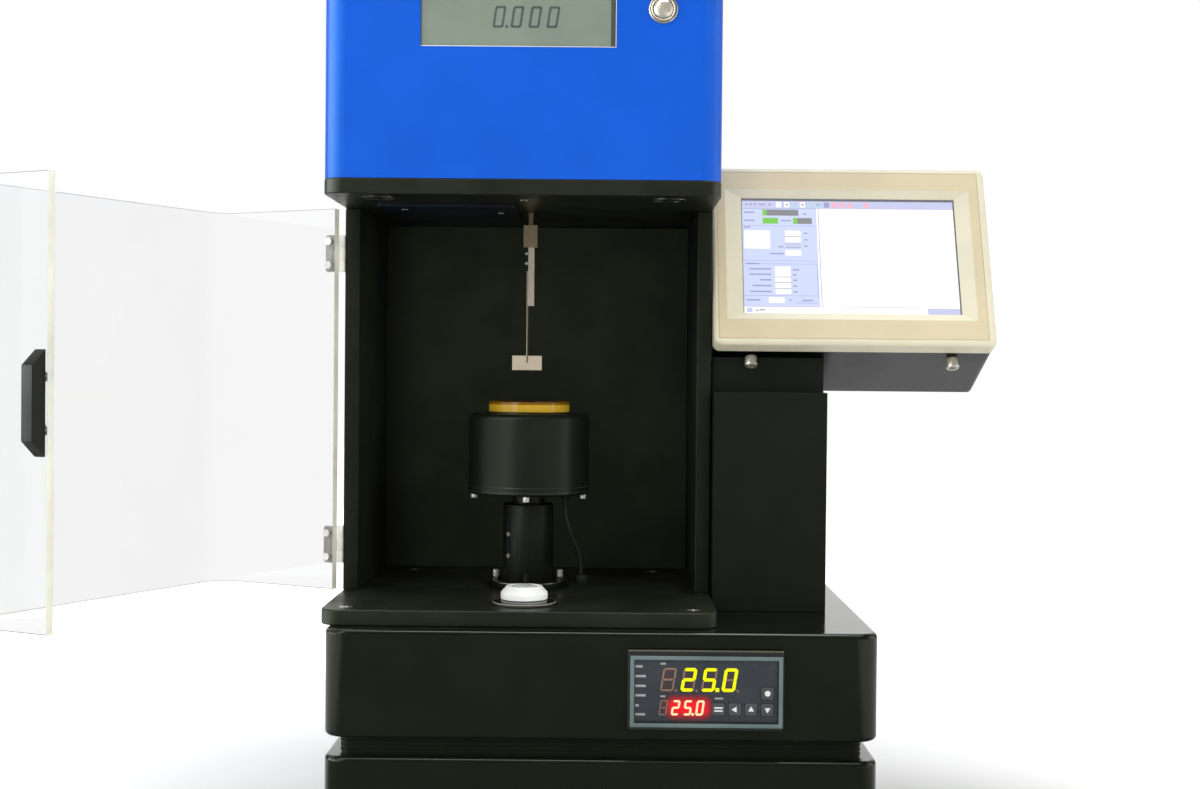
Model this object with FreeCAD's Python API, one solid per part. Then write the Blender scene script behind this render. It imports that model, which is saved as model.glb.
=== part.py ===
import FreeCAD, Part
import math
import os

from FreeCAD import Vector

# A bench surface tensiometer for the plate method. Lengths are in millimetres and angles in degrees.
# The part is drawn with x = 0 at the middle of the sample chamber, y = 0 at the front edge of the
# chamber's plates and z = 0 on the bench, and it is moved at the end so that the origin lies under
# the middle of the whole instrument.

# Two-storey base
base_width = 344.0
base_depth = 300.0
base_left_inset = 5.0
base_front_reach = 15.0
base_corner_radius = 14.0
base_edge_radius = 3.0
lower_height = 65.0
neck_height = 12.0
neck_inset = 10.0
upper_height = 67.0
housing_wall = 4.0
housing_window_margin = 26.0
floor_thickness = 3.0
floor_recess = 1.0

# Levelling feet
foot_height = 20.0
foot_disc_radius = 18.0
foot_disc_height = 8.0
foot_stud_radius = 4.0
foot_inset = 34.0
foot_top_radius = 2.0
foot_stud_root = 4.0
foot_stud_clearance = 2.05
foot_boss_radius = 10.0
foot_boss_height = 15.0

# Sample chamber
plate_width = 250.0
plate_depth = 250.0
plate_thickness = 10.0
plate_corner_radius = 12.0
plate_edge_radius = 1.0
chamber_height = 260.0
panel_thickness = 10.0
panel_chamfer = 0.5
panel_setback = 98.0
panel_rear_inset = 2.0
back_wall_thickness = 8.0
base_screw_head_radius = 4.2
base_screw_radius = 2.5
base_screw_length = 16.0
base_screw_x_shares = (-0.44, 0.44, -0.359, 0.359)
base_screw_y_shares = (0.058, 0.058, 0.882, 0.882)
counterbore_radius = 10.3
counterbore_depth = 3.0
counterbore_x_share = 0.37
counterbore_y_share = 0.1
sight_hole_radius = 2.5
sight_hole_y_share = 0.126
service_cover_panel_gap = 17.1
service_cover_hanger_gap = 7.9
service_cover_depth = 98.0
service_cover_thickness = 2.0
service_cover_setback = 59.0

# Round level on the chamber floor
level_y = 34.5
level_x = 1.9
level_disc_radius = 20.5
level_disc_thickness = 2.0
level_disc_edge = 0.5
level_body_radius = 15.1
level_skirt_height = 5.0
level_cone_height = 4.2
level_top_radius = 11.8
level_bore_radius = 9.6
level_bore_floor = 2.0
level_dome_height = 2.0

# Column that carries the stage
flange_radius = 27.0
flange_thickness = 5.0
flange_edge_radius = 1.0
sleeve_radius = 17.4
sleeve_height = 53.2
sleeve_chamfer = 0.6
column_radius = 11.4
flange_stud_radius = 2.2
flange_stud_circle = 22.3
flange_stud_height = 7.0
flange_stud_chamfer = 0.5
flange_stud_count = 4
set_screw_radius = 1.6
set_screw_length = 4.5
set_screw_proud = 0.6
set_screw_bearing = 222.0
set_screw_height_shares = (0.33, 0.61)
column_spigot_radius = 6.0

# Stage, its heated jacket and the dish
stage_drop = 6.0
stage_rise = 24.0
stage_stop_gap = 1.2
jacket_radius = 42.0
jacket_height = 50.0
jacket_edge_radius = 4.0
jacket_cover_thickness = 5.6
jacket_cover_edge = 1.2
jacket_floor = 5.0
jacket_cavity_radius = 34.0
heater_radius = 33.0
heater_thickness = 8.0
jacket_screw_radius = 2.4
jacket_screw_head = 3.8
jacket_screw_circle = 38.0
jacket_screw_count = 4
dish_radius = 28.1
dish_height = 30.3
dish_wall = 1.8
dish_floor = 2.0
dish_rim_radius = 0.6
dish_proud = 8.3

# Heater lead, whose route is a list of points chosen by hand
lead_diameter = 3.0
lead_bush_radius = 3.4
lead_bush_height = 4.4
lead_gland_radius = 5.0
lead_gland_height = 6.0
lead_gland_chamfer = 1.2
lead_gland_shank_radius = 4.0
lead_gland_shank = 8.0
lead_top = (25.0, 140.0)
lead_foot = (36.5, 151.0)
lead_mid_points = ((25.0, 140.0, 222.6), (29.6, 145.2, 207.8), (36.5, 151.0, 192.4))
lead_run_share = 0.45

# Lift drive inside the base
screw_radius = 4.0
screw_chamfer = 1.0
screw_spare = 10.0
carriage_rod_wall = 6.0
carriage_depth = 30.0
carriage_thickness = 12.0
carriage_rounding = 4.0
carriage_floor_gap = 3.0
guide_rod_radius = 4.0
guide_rod_spacing = 64.0
motor_side = 42.3
motor_height = 40.0
motor_chamfer = 4.0
motor_floor = 8.0
neck_top_thickness = 4.0

# Electronics inside the base
supply_width = 98.0
supply_depth = 129.0
supply_height = 38.0
supply_inset = 22.0
supply_front = 70.0
supply_rib = 4.75
board_width = 110.0
board_depth = 80.0
board_thickness = 1.6
board_left = 20.0
board_front = 30.0
board_post_radius = 3.0
board_post_height = 6.0
board_post_inset = 6.0
board_part_width_shares = (0.3, 0.18, 0.2)
board_part_depth_shares = (0.25, 0.3, 0.18)
board_part_height_shares = (0.16, 0.22, 0.14)
board_part_x_shares = (0.12, 0.5, 0.74)
board_part_y_shares = (0.55, 0.15, 0.6)

# Mains inlet with a rocker switch, on the rear of the lower housing
entry_width = 60.0
entry_height = 31.0
entry_flange = 3.0
entry_body_width = 50.0
entry_body_height = 27.0
entry_body_depth = 24.0
entry_right = 64.0
inlet_width = 24.6
inlet_height = 16.6
inlet_depth = 16.0
inlet_wall = 3.0
inlet_pin_width = 2.0
inlet_pin_height = 4.0
inlet_pin_length = 10.0
inlet_pin_spacing = 7.0
inlet_earth_rise = 4.0
rocker_radius = 9.0
rocker_width = 12.4
rocker_side_gap = 0.3
rocker_trunnion_radius = 1.5
rocker_trunnion_length = 1.5
rocker_tilt = 10.0
rocker_crest = 2.6
rocker_wall = 3.0

# Temperature controller in the front of the upper housing
controller_width = 96.0
controller_height = 48.0
controller_inset = 59.6
controller_drop = 1.4
controller_frame_depth = 5.0
controller_frame_side = 3.7
controller_frame_end = 4.6
controller_recess = 3.0
controller_body_width = 91.6
controller_body_height = 44.6
controller_body_depth = 76.0
controller_window_thickness = 1.4
controller_corner_radius = 2.0
key_side = 7.7
key_rounding = 0.8
key_gap = 0.2
key_pitch = 10.0
key_proud = 0.8
key_travel = 0.5
key_back_gap = 0.7
key_row_height = 12.7
key_first_x = 56.0
key_columns = {"key_mode": 0, "key_left": 1, "key_up": 2, "key_down": 3, "key_round": 3}
key_rows = {"key_mode": 0, "key_left": 0, "key_up": 0, "key_down": 0, "key_round": 1}

# Head with the force sensor, its display and the tare button
head_height = 178.0
head_corner_radius = 14.0
head_edge_radius = 5.0
head_wall = 2.5
readout_width = 122.0
readout_height = 48.0
readout_x = -3.0
readout_rise = 106.0
readout_border = 5.0
readout_module_depth = 9.0
button_x = 87.0
button_flange_radius = 9.2
button_flange_thickness = 2.0
button_barrel_radius = 7.9
button_barrel_length = 20.0
button_cap_radius = 6.0
button_cap_proud = 0.4
button_cap_length = 8.0
button_cap_edge = 0.6
button_travel = 1.5
button_back_gap = 0.5
cell_width = 22.0
cell_height = 24.0
cell_wall_gap = 15.0
cell_free_overhang = 12.0
cell_foot_length = 30.0
cell_foot_height = 26.0
cell_eye_radius = 8.0
cell_eye_shares = (0.38, 0.52)

# Hanger with the platinum plate
hanger_rod_radius = 1.75
hanger_nut_radius = 4.5
hanger_nut_height = 4.0
hanger_hole_radius = 6.0
block_side = 9.5
block_height = 15.0
block_drop = 8.5
block_slot_roof = 2.0
hanger_pin_radius = 0.8
hanger_pin_drop = 7.5
bar_width = 5.5
bar_thickness = 3.0
bar_offset = 1.25
bar_head = 3.0
bar_span_share = 0.54
jaw_width = 2.8
jaw_height = 16.0
jaw_screw_inset = 1.9
clamp_screw_radius = 1.1
clamp_screw_head = 0.8
clamp_screw_shares = (0.28, 0.7)
wire_radius = 0.75
wire_overlap = 5.0
blade_width = 20.6
blade_height = 10.0
blade_thickness = 0.3
blade_offset = -1.9
blade_gap = 21.7

# Clear door, bent to a U, that closes the chamber's front and both its forward sides
door_sheet_thickness = 5.0
door_bend_radius = 20.0
door_front_reach = 7.0
door_edge_gap = 1.0
door_hinge_gap = 2.5
door_free_setback = 81.0
door_open_angle = 117.0
handle_length = 60.0
handle_top_length = 42.0
handle_depth = 10.0
handle_thickness = 8.0
handle_inset = 1.5
handle_bolt_radius = 2.0
handle_bolt_head_radius = 3.2
handle_bolt_head = 2.4
handle_bolt_spacing = 30.0
handle_bolt_depth = 7.0

# Two small hinges
hinge_height = 25.0
hinge_end_distance = 31.0
hinge_knuckle_radius = 1.9
hinge_pin_radius = 1.0
hinge_leaf_thickness = 1.2
hinge_door_leaf = 9.0
hinge_frame_leaf = 13.0
hinge_leaf_rounding = 2.0
hinge_knuckle_share = 0.34
hinge_screw_radius = 1.5
hinge_screw_head_radius = 2.6
hinge_screw_head = 1.0
hinge_screw_rise = 8.0
hinge_nut_height = 1.6

# Touch screen on its pedestal
pedestal_left_gap = 1.0
pedestal_width = 76.3
pedestal_depth = 92.0
pedestal_setback = 82.0
pedestal_height = 147.5
pedestal_cable_radius = 19.0
pedestal_wall = 3.0
wedge_setback = 22.0
screen_left_gap = 0.6
screen_unit_width = 190.9
screen_unit_height = 135.4
screen_setback = 83.0
screen_tilt = 23.0
bezel_depth = 13.0
bezel_corner_radius = 5.0
bezel_edge_radius = 3.4
bezel_wall = 3.0
bezel_recess_width = 169.7
bezel_recess_height = 99.6
bezel_recess_left = 9.4
bezel_recess_rise = 18.2
bezel_slope_depth = 3.2
bezel_lip = 0.8
glass_width = 148.5
glass_height = 88.6
glass_left = 20.8
glass_rise = 24.0
screen_panel_border = 6.0
screen_panel_depth = 6.0
rear_case_depth = 71.0
rear_case_inset = 1.0
rear_case_wall = 3.0
rear_case_edge_radius = 2.0

# Clearances
running_gap = 0.05
slip_gap = 0.3
free_gap = 0.5
seat_gap = 0.05
overrun = 1.0
direction_tolerance = 1e-6
level_tolerance = 3e-4

# Levels, from the bench upwards
lower_z = foot_height
neck_z = lower_z + lower_height
upper_z = neck_z + neck_height
deck_z = upper_z + upper_height
chamber_floor = deck_z + plate_thickness
chamber_top = chamber_floor + chamber_height
head_z = chamber_top + plate_thickness
head_top = head_z + head_height
base_left = base_left_inset - plate_width / 2
base_right = base_left + base_width
base_front = -base_front_reach
base_rear = base_front + base_depth
side_x = plate_width / 2
axis_y = plate_depth / 2
sleeve_top = chamber_floor + flange_thickness + sleeve_height
cover_z = sleeve_top + stage_drop + stage_stop_gap
jacket_z = cover_z + jacket_cover_thickness
jacket_top = jacket_z + jacket_height
dish_seat_z = jacket_top + dish_proud - dish_height
dish_rim_z = dish_seat_z + dish_height
carriage_z = upper_z + stage_drop + carriage_floor_gap
carriage_width = guide_rod_spacing + 2 * (guide_rod_radius + carriage_rod_wall)
blade_z = dish_rim_z + blade_gap
block_top = chamber_top - block_drop
block_z = block_top - block_height
hinge_x = -side_x - hinge_knuckle_radius
hinge_y = panel_setback - running_gap - hinge_screw_head
pedestal_left = side_x + pedestal_left_gap
pedestal_top = deck_z + pedestal_height


def block(x0, x1, y0, y1, z0, z1):
    """A plain block between two corners."""
    return Part.makeBox(x1 - x0, y1 - y0, z1 - z0, Vector(x0, y0, z0))


def round_bar(radius, start, end):
    """A cylinder from one point to another."""
    start, end = Vector(*start), Vector(*end)
    return Part.makeCylinder(radius, (end - start).Length, start, end - start)


def upright(radius, z0, z1, x=0.0, y=0.0):
    """A cylinder that stands on z0."""
    return Part.makeCylinder(radius, z1 - z0, Vector(x, y, z0))


def parallel_edges(shape, direction):
    """The straight edges of a shape that run along a direction."""
    found = []
    for edge in shape.Edges:
        if not isinstance(edge.Curve, (Part.Line, Part.LineSegment)):
            continue
        along = edge.tangentAt(edge.FirstParameter)
        if abs(abs(along.dot(direction)) - 1) < direction_tolerance:
            found.append(edge)
    return found


def edges_on_level(shape, level, axis=2):
    """The edges that lie in one plane square to an axis."""
    found = []
    for edge in shape.Edges:
        box = edge.BoundBox
        low = (box.XMin, box.YMin, box.ZMin)[axis]
        high = (box.XMax, box.YMax, box.ZMax)[axis]
        if abs(low - level) < level_tolerance and abs(high - level) < level_tolerance:
            found.append(edge)
    return found


def rounded_block(x0, x1, y0, y1, z0, z1, radius, top_radius=0.0, low_radius=0.0):
    """A block with rounded upright corners and, if wanted, rounded top and bottom edges."""
    shape = block(x0, x1, y0, y1, z0, z1)
    shape = shape.makeFillet(radius, parallel_edges(shape, Vector(0, 0, 1)))
    if top_radius:
        shape = shape.makeFillet(top_radius, edges_on_level(shape, z1))
    if low_radius:
        shape = shape.makeFillet(low_radius, edges_on_level(shape, z0))
    return shape


def tilted(shape, angle, centre, axis):
    """A copy of the shape turned about a line."""
    turned = shape.copy()
    turned.rotate(Vector(*centre), Vector(*axis), angle)
    return turned


def prism(points, start, end):
    """An outline of (y, z) points, drawn along x from start to end."""
    corners = [Vector(start, y, z) for y, z in points]
    face = Part.Face(Part.makePolygon(corners + corners[:1]))
    return face.extrude(Vector(end - start, 0, 0))


def turned_profile(points, centre):
    """A closed outline of (radius, z) points, turned a full circle about an upright axis."""
    corners = [Vector(centre[0] + radius, centre[1], z) for radius, z in points]
    face = Part.Face(Part.makePolygon(corners + corners[:1]))
    return face.revolve(Vector(centre[0], centre[1], 0), Vector(0, 0, 1), 360)


def on_circle(count, radius, start=0.0):
    """Places spread evenly on a circle about the column's axis."""
    places = []
    for index in range(count):
        angle = math.radians(start + 360 * index / count)
        places.append((radius * math.cos(angle), axis_y + radius * math.sin(angle)))
    return places


def housing_outline(inset, z0, z1, top_radius=0.0, low_radius=0.0):
    """The base's rounded outline, drawn in by an inset."""
    return rounded_block(
        base_left + inset,
        base_right - inset,
        base_front + inset,
        base_rear - inset,
        z0,
        z1,
        base_corner_radius - min(inset, base_corner_radius / 2),
        top_radius,
        low_radius,
    )


def foot_places():
    """The four feet, by name, with their places on the bench."""
    left = base_left + foot_inset
    right = base_right - foot_inset
    front = base_front + foot_inset
    rear = base_rear - foot_inset
    return {
        "foot_front_left": (left, front),
        "foot_front_right": (right, front),
        "foot_rear_left": (left, rear),
        "foot_rear_right": (right, rear),
    }


# Lower storey of the base


def lower_housing():
    shell = housing_outline(0, lower_z, neck_z, base_edge_radius, base_edge_radius)
    shell = shell.cut(housing_outline(housing_wall, lower_z - overrun, neck_z - housing_wall))
    window = housing_outline(housing_window_margin, neck_z - housing_wall - overrun, neck_z + overrun)
    shell = shell.cut(window)
    middle = entry_centre_x()
    hole = block(
        middle - entry_body_width / 2 - slip_gap,
        middle + entry_body_width / 2 + slip_gap,
        base_rear - housing_wall - overrun,
        base_rear + overrun,
        entry_centre_z() - entry_body_height / 2 - slip_gap,
        entry_centre_z() + entry_body_height / 2 + slip_gap,
    )
    return shell.cut(hole)


def base_floor():
    floor_z = lower_z + floor_recess
    plate = housing_outline(housing_wall + running_gap, floor_z, floor_z + floor_thickness)
    for x, y in foot_places().values():
        plate = plate.fuse(upright(foot_boss_radius, floor_z, floor_z + foot_boss_height, x, y))
    for x, y in foot_places().values():
        bore = foot_stud_radius + running_gap
        plate = plate.cut(upright(bore, floor_z - overrun, floor_z + foot_boss_height + overrun, x, y))
    return plate.removeSplitter()


def foot(x, y):
    disc = upright(foot_disc_radius, 0, foot_disc_height, x, y)
    disc = disc.makeFillet(foot_top_radius, edges_on_level(disc, foot_disc_height))
    stud_top = lower_z + floor_recess + foot_boss_height - foot_stud_clearance
    stud = upright(foot_stud_radius, foot_disc_height - foot_stud_root, stud_top, x, y)
    return disc.fuse(stud)


def power_supply():
    x1 = base_right - supply_inset
    x0 = x1 - supply_width
    y0, y1 = supply_front, supply_front + supply_depth
    z0 = lower_z + floor_recess + floor_thickness
    z1 = z0 + supply_height
    case = block(x0, x1, y0, y1, z0, z1)
    for groove_x in (x0, x1 - supply_rib):
        groove = block(
            groove_x, groove_x + supply_rib, y0 - overrun, y1 + overrun, z1 - supply_rib, z1 + overrun
        )
        case = case.cut(groove)
    return case


def control_board():
    x0 = base_left + board_left
    post_z = lower_z + floor_recess + floor_thickness
    board_z = post_z + board_post_height
    x1, rear = x0 + board_width, board_front + board_depth
    board = block(x0, x1, board_front, rear, board_z, board_z + board_thickness)
    for x in (x0 + board_post_inset, x1 - board_post_inset):
        for y in (board_front + board_post_inset, rear - board_post_inset):
            board = board.fuse(upright(board_post_radius, post_z, board_z + board_thickness, x, y))
    shares = zip(
        board_part_x_shares,
        board_part_y_shares,
        board_part_width_shares,
        board_part_depth_shares,
        board_part_height_shares,
    )
    for share_x, share_y, width, depth, height in shares:
        part_x = x0 + share_x * board_width
        part_y = board_front + share_y * board_depth
        top = board_z + board_thickness + height * board_width
        item = block(part_x, part_x + width * board_width, part_y, part_y + depth * board_depth, board_z, top)
        board = board.fuse(item)
    return board.removeSplitter()


def entry_centre_x():
    return base_right - entry_right


def entry_centre_z():
    return lower_z + lower_height / 2


def rocker_centre():
    """The rocker's pivot: its place along x, y and z."""
    x = entry_centre_x() + entry_body_width / 2 - rocker_wall - rocker_width / 2
    return x, base_rear + entry_flange - rocker_crest, entry_centre_z()


def inlet_centre_x():
    return entry_centre_x() - entry_body_width / 2 + inlet_wall + inlet_width / 2


def power_entry():
    x, z = entry_centre_x(), entry_centre_z()
    face_y = base_rear + entry_flange
    half_width, half_height = entry_width / 2, entry_height / 2
    body = block(x - half_width, x + half_width, base_rear, face_y, z - half_height, z + half_height)
    body = body.makeFillet(entry_flange / 2, edges_on_level(body, face_y, 1))
    half_width, half_height = entry_body_width / 2, entry_body_height / 2
    tail_y = face_y - entry_body_depth
    tail = block(x - half_width, x + half_width, tail_y, base_rear, z - half_height, z + half_height)
    body = body.fuse(tail)
    inlet_x = inlet_centre_x()
    socket = block(
        inlet_x - inlet_width / 2,
        inlet_x + inlet_width / 2,
        face_y - inlet_depth,
        face_y + overrun,
        z - inlet_height / 2,
        z + inlet_height / 2,
    )
    body = body.cut(socket)
    pivot_x, pivot_y, pivot_z = rocker_centre()
    half = rocker_width / 2 + rocker_side_gap
    rocker_bores = (
        (rocker_radius + rocker_side_gap, half),
        (rocker_trunnion_radius + running_gap, half + rocker_trunnion_length),
    )
    for bore, reach in rocker_bores:
        start, end = (pivot_x - reach, pivot_y, pivot_z), (pivot_x + reach, pivot_y, pivot_z)
        body = body.cut(round_bar(bore, start, end))
    pins = []
    for index in (-1, 0, 1):
        pin_x = inlet_x + index * inlet_pin_spacing
        pin_z = z + (inlet_earth_rise if index == 0 else 0) - inlet_earth_rise / 2
        pins.append(
            block(
                pin_x - inlet_pin_width / 2,
                pin_x + inlet_pin_width / 2,
                face_y - inlet_depth,
                face_y - inlet_depth + inlet_pin_length,
                pin_z - inlet_pin_height / 2,
                pin_z + inlet_pin_height / 2,
            )
        )
    return Part.makeCompound([body] + pins)


def power_rocker():
    x, y, z = rocker_centre()
    half = rocker_width / 2
    drum = round_bar(rocker_radius, (x - half, y, z), (x + half, y, z))
    crest = rocker_crest
    reach = rocker_radius * 2
    for side in (1, -1):
        rise = reach * math.tan(math.radians(rocker_tilt))
        outline = [
            (y + crest, z),
            (y + crest + rise, z + side * reach),
            (y + crest + reach, z + side * reach),
            (y + crest + reach, z),
        ]
        drum = drum.cut(prism(outline, x - half - overrun, x + half + overrun))
    hub = half + rocker_trunnion_length
    drum = drum.fuse(round_bar(rocker_trunnion_radius, (x - hub, y, z), (x + hub, y, z)))
    return tilted(drum, rocker_tilt, (x, y, z), (1, 0, 0))


# Upper storey of the base


def neck_frame():
    frame = housing_outline(neck_inset, neck_z, upper_z)
    inside = housing_outline(neck_inset + housing_wall, neck_z - overrun, upper_z - neck_top_thickness)
    frame = frame.cut(inside)
    pilot = screw_radius + free_gap
    return frame.cut(upright(pilot, neck_z, upper_z + overrun, 0, axis_y))


def deck_hole(radius, x, y):
    """A bore through the deck."""
    return upright(radius, deck_z - 2 * housing_wall, deck_z + overrun, x, y)


def upper_housing():
    shell = housing_outline(0, upper_z, deck_z, base_edge_radius, base_edge_radius)
    shell = shell.cut(housing_outline(housing_wall, upper_z + housing_wall, deck_z - housing_wall))
    window = housing_outline(housing_window_margin, upper_z - overrun, upper_z + housing_wall + overrun)
    shell = shell.cut(window)
    shell = shell.cut(deck_hole(column_radius + free_gap, 0, axis_y))
    x0, z0 = controller_corner()
    side = (controller_width - controller_body_width) / 2 - slip_gap
    rise = (controller_height - controller_body_height) / 2 - slip_gap
    hole = block(
        x0 + side,
        x0 + controller_width - side,
        base_front - overrun,
        base_front + housing_wall + overrun,
        z0 + rise,
        z0 + controller_height - rise,
    )
    shell = shell.cut(hole)
    shell = shell.cut(deck_hole(lead_gland_shank_radius + free_gap, *lead_foot))
    middle = pedestal_left + pedestal_width / 2
    cable_y = pedestal_setback + pedestal_depth / 2
    return shell.cut(deck_hole(pedestal_cable_radius, middle, cable_y))


def lift_motor():
    top = upper_z - neck_top_thickness
    half = motor_side / 2
    body = block(-half, half, axis_y - half, axis_y + half, top - motor_height, top)
    body = body.makeChamfer(motor_chamfer, parallel_edges(body, Vector(0, 0, 1)))
    bore = screw_radius + running_gap
    return body.cut(upright(bore, top - motor_height + motor_floor, top + overrun, 0, axis_y))


def lead_screw():
    low = upper_z - neck_top_thickness - motor_height + motor_floor + seat_gap
    high = carriage_z + carriage_thickness + stage_rise + screw_spare
    screw = upright(screw_radius, low, high, 0, axis_y)
    return screw.makeChamfer(screw_chamfer, edges_on_level(screw, high))


def guide_rods():
    rods = []
    for side in (-1, 1):
        x = side * guide_rod_spacing / 2
        rods.append(upright(guide_rod_radius, upper_z, deck_z - housing_wall, x, axis_y))
    return Part.makeCompound(rods)


def lift_carriage():
    top = carriage_z + carriage_thickness
    half_width, half_depth = carriage_width / 2, carriage_depth / 2
    body = block(-half_width, half_width, axis_y - half_depth, axis_y + half_depth, carriage_z, top)
    body = body.makeFillet(carriage_rounding, parallel_edges(body, Vector(0, 0, 1)))
    body = body.cut(upright(screw_radius + running_gap, carriage_z - overrun, top + overrun, 0, axis_y))
    for side in (-1, 1):
        x = side * guide_rod_spacing / 2
        bore = guide_rod_radius + running_gap
        body = body.cut(upright(bore, carriage_z - overrun, top + overrun, x, axis_y))
    return body


def lift_column():
    low = carriage_z + carriage_thickness
    column = upright(column_radius, low, cover_z, 0, axis_y)
    column = column.fuse(upright(column_spigot_radius, cover_z, jacket_z, 0, axis_y))
    bore_top = low + stage_drop + stage_rise + screw_spare + free_gap
    return column.cut(upright(screw_radius + free_gap, low - overrun, bore_top, 0, axis_y))


# Temperature controller


def controller_corner():
    """The left and lower edge of the controller's frame."""
    x0 = base_right - controller_inset - controller_width
    z0 = upper_z + (upper_height - controller_height) / 2 - controller_drop
    return x0, z0


def key_box(name, gap=0.0):
    """The left, right, lower and upper edge of a key, with a gap all round."""
    x0, z0 = controller_corner()
    x = x0 + key_first_x + key_columns[name] * key_pitch
    z = z0 + key_row_height + key_rows[name] * key_pitch
    half = key_side / 2 + gap
    return x - half, x + half, z - half, z + half


def controller_case():
    x0, z0 = controller_corner()
    front = base_front - controller_frame_depth
    frame = block(x0, x0 + controller_width, front, base_front, z0, z0 + controller_height)
    frame = frame.makeFillet(controller_corner_radius, parallel_edges(frame, Vector(0, 1, 0)))
    side = (controller_width - controller_body_width) / 2
    rise = (controller_height - controller_body_height) / 2
    body = block(
        x0 + side,
        x0 + controller_width - side,
        base_front - overrun,
        base_front + controller_body_depth,
        z0 + rise,
        z0 + controller_height - rise,
    )
    case = frame.fuse(body)
    recess = block(
        x0 + controller_frame_side,
        x0 + controller_width - controller_frame_side,
        front - overrun,
        front + controller_recess,
        z0 + controller_frame_end,
        z0 + controller_height - controller_frame_end,
    )
    case = case.cut(recess)
    for name in key_columns:
        left, right, low, high = key_box(name, key_gap)
        case = case.cut(block(left, right, front, key_back() + key_back_gap, low, high))
    return case


def key_back():
    """How far back a key reaches at rest."""
    return base_front - controller_frame_depth + controller_recess + key_travel


def controller_window():
    x0, z0 = controller_corner()
    back = base_front - controller_frame_depth + controller_recess
    window = block(
        x0 + controller_frame_side + seat_gap,
        x0 + controller_width - controller_frame_side - seat_gap,
        back - controller_window_thickness,
        back,
        z0 + controller_frame_end + seat_gap,
        z0 + controller_height - controller_frame_end - seat_gap,
    )
    for name in key_columns:
        left, right, low, high = key_box(name, key_gap)
        front = back - controller_window_thickness
        window = window.cut(block(left, right, front - overrun, back + overrun, low, high))
    return window


def controller_key(name):
    left, right, low, high = key_box(name)
    front = base_front - controller_frame_depth + controller_recess - controller_window_thickness - key_proud
    key = block(left, right, front, key_back(), low, high)
    key = key.makeFillet(key_rounding, parallel_edges(key, Vector(0, 1, 0)))
    return key.makeFillet(key_proud / 2, edges_on_level(key, front, 1))


# Sample chamber


def chamber_plate(z0):
    edge = plate_edge_radius
    z1 = z0 + plate_thickness
    return rounded_block(-side_x, side_x, 0, plate_depth, z0, z1, plate_corner_radius, edge, edge)


def base_screw_places():
    return [
        (share_x * plate_width, share_y * plate_depth)
        for share_x, share_y in zip(base_screw_x_shares, base_screw_y_shares)
    ]


def base_screw(x, y, gap=0.0):
    """A countersunk screw, or the hole for one with a gap all round."""
    top = chamber_floor
    cone = base_screw_head_radius - base_screw_radius
    low = Vector(x, y, top - cone)
    head = Part.makeCone(base_screw_radius + gap, base_screw_head_radius + gap, cone, low)
    shank = upright(base_screw_radius + gap, top - base_screw_length - gap, top - cone, x, y)
    return head.fuse(shank)


def base_plate():
    plate = chamber_plate(deck_z)
    plate = plate.cut(upright(column_radius + free_gap, deck_z - overrun, chamber_floor + overrun, 0, axis_y))
    for x, y in base_screw_places():
        plate = plate.cut(base_screw(x, y))
    for x, y in on_circle(flange_stud_count, flange_stud_circle):
        depth = plate_thickness / 2
        plate = plate.cut(upright(flange_stud_radius, chamber_floor - depth, chamber_floor + overrun, x, y))
    shank = lead_gland_shank_radius
    return plate.cut(upright(shank, deck_z - overrun, chamber_floor + overrun, *lead_foot))


def base_plate_screws():
    screws = []
    for x, y in base_screw_places():
        screw = base_screw(x, y)
        hex_depth = base_screw_head_radius - base_screw_radius
        socket = upright(base_screw_radius / 2, chamber_floor - hex_depth, chamber_floor + overrun, x, y)
        screws.append(screw.cut(socket))
    return Part.makeCompound(screws)


def deck_with_screw_holes(shell):
    """Cuts the base screws' threads into the upper housing's deck."""
    for x, y in base_screw_places():
        shell = shell.cut(deck_hole(base_screw_radius, x, y))
    return shell


def side_panel(side):
    inner = side_x - panel_thickness
    x0, x1 = (inner, side_x) if side > 0 else (-side_x, -inner)
    panel = block(x0, x1, panel_setback, plate_depth - panel_rear_inset, chamber_floor, chamber_top)
    return panel.makeChamfer(panel_chamfer, edges_on_level(panel, panel_setback, 1))


def back_wall():
    inner = side_x - panel_thickness
    rear = plate_depth - panel_rear_inset
    return block(-inner, inner, rear - back_wall_thickness, rear, chamber_floor, chamber_top)


def head_plate():
    plate = chamber_plate(chamber_top)
    plate = plate.cut(upright(hanger_hole_radius, chamber_top - overrun, head_z + overrun, 0, axis_y))
    for side in (-1, 1):
        x, y = side * counterbore_x_share * plate_width, counterbore_y_share * plate_depth
        pocket = upright(counterbore_radius, chamber_top - overrun, chamber_top + counterbore_depth, x, y)
        plate = plate.cut(pocket)
    y = sight_hole_y_share * plate_depth
    return plate.cut(upright(sight_hole_radius, chamber_top - overrun, chamber_top + counterbore_depth, 0, y))


def service_cover():
    y0 = service_cover_setback
    return rounded_block(
        panel_thickness + service_cover_panel_gap - side_x,
        -service_cover_hanger_gap,
        y0,
        y0 + service_cover_depth,
        chamber_top - service_cover_thickness,
        chamber_top,
        service_cover_thickness,
    )


def level_body():
    z0 = chamber_floor + level_disc_thickness
    skirt = z0 + level_skirt_height
    top = skirt + level_cone_height
    floor = z0 + level_bore_floor
    outline = [
        (0, z0),
        (level_body_radius, z0),
        (level_body_radius, skirt),
        (level_top_radius, top),
        (level_bore_radius, top),
        (level_bore_radius, floor),
        (0, floor),
    ]
    return turned_profile(outline, (level_x, level_y))


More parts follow.
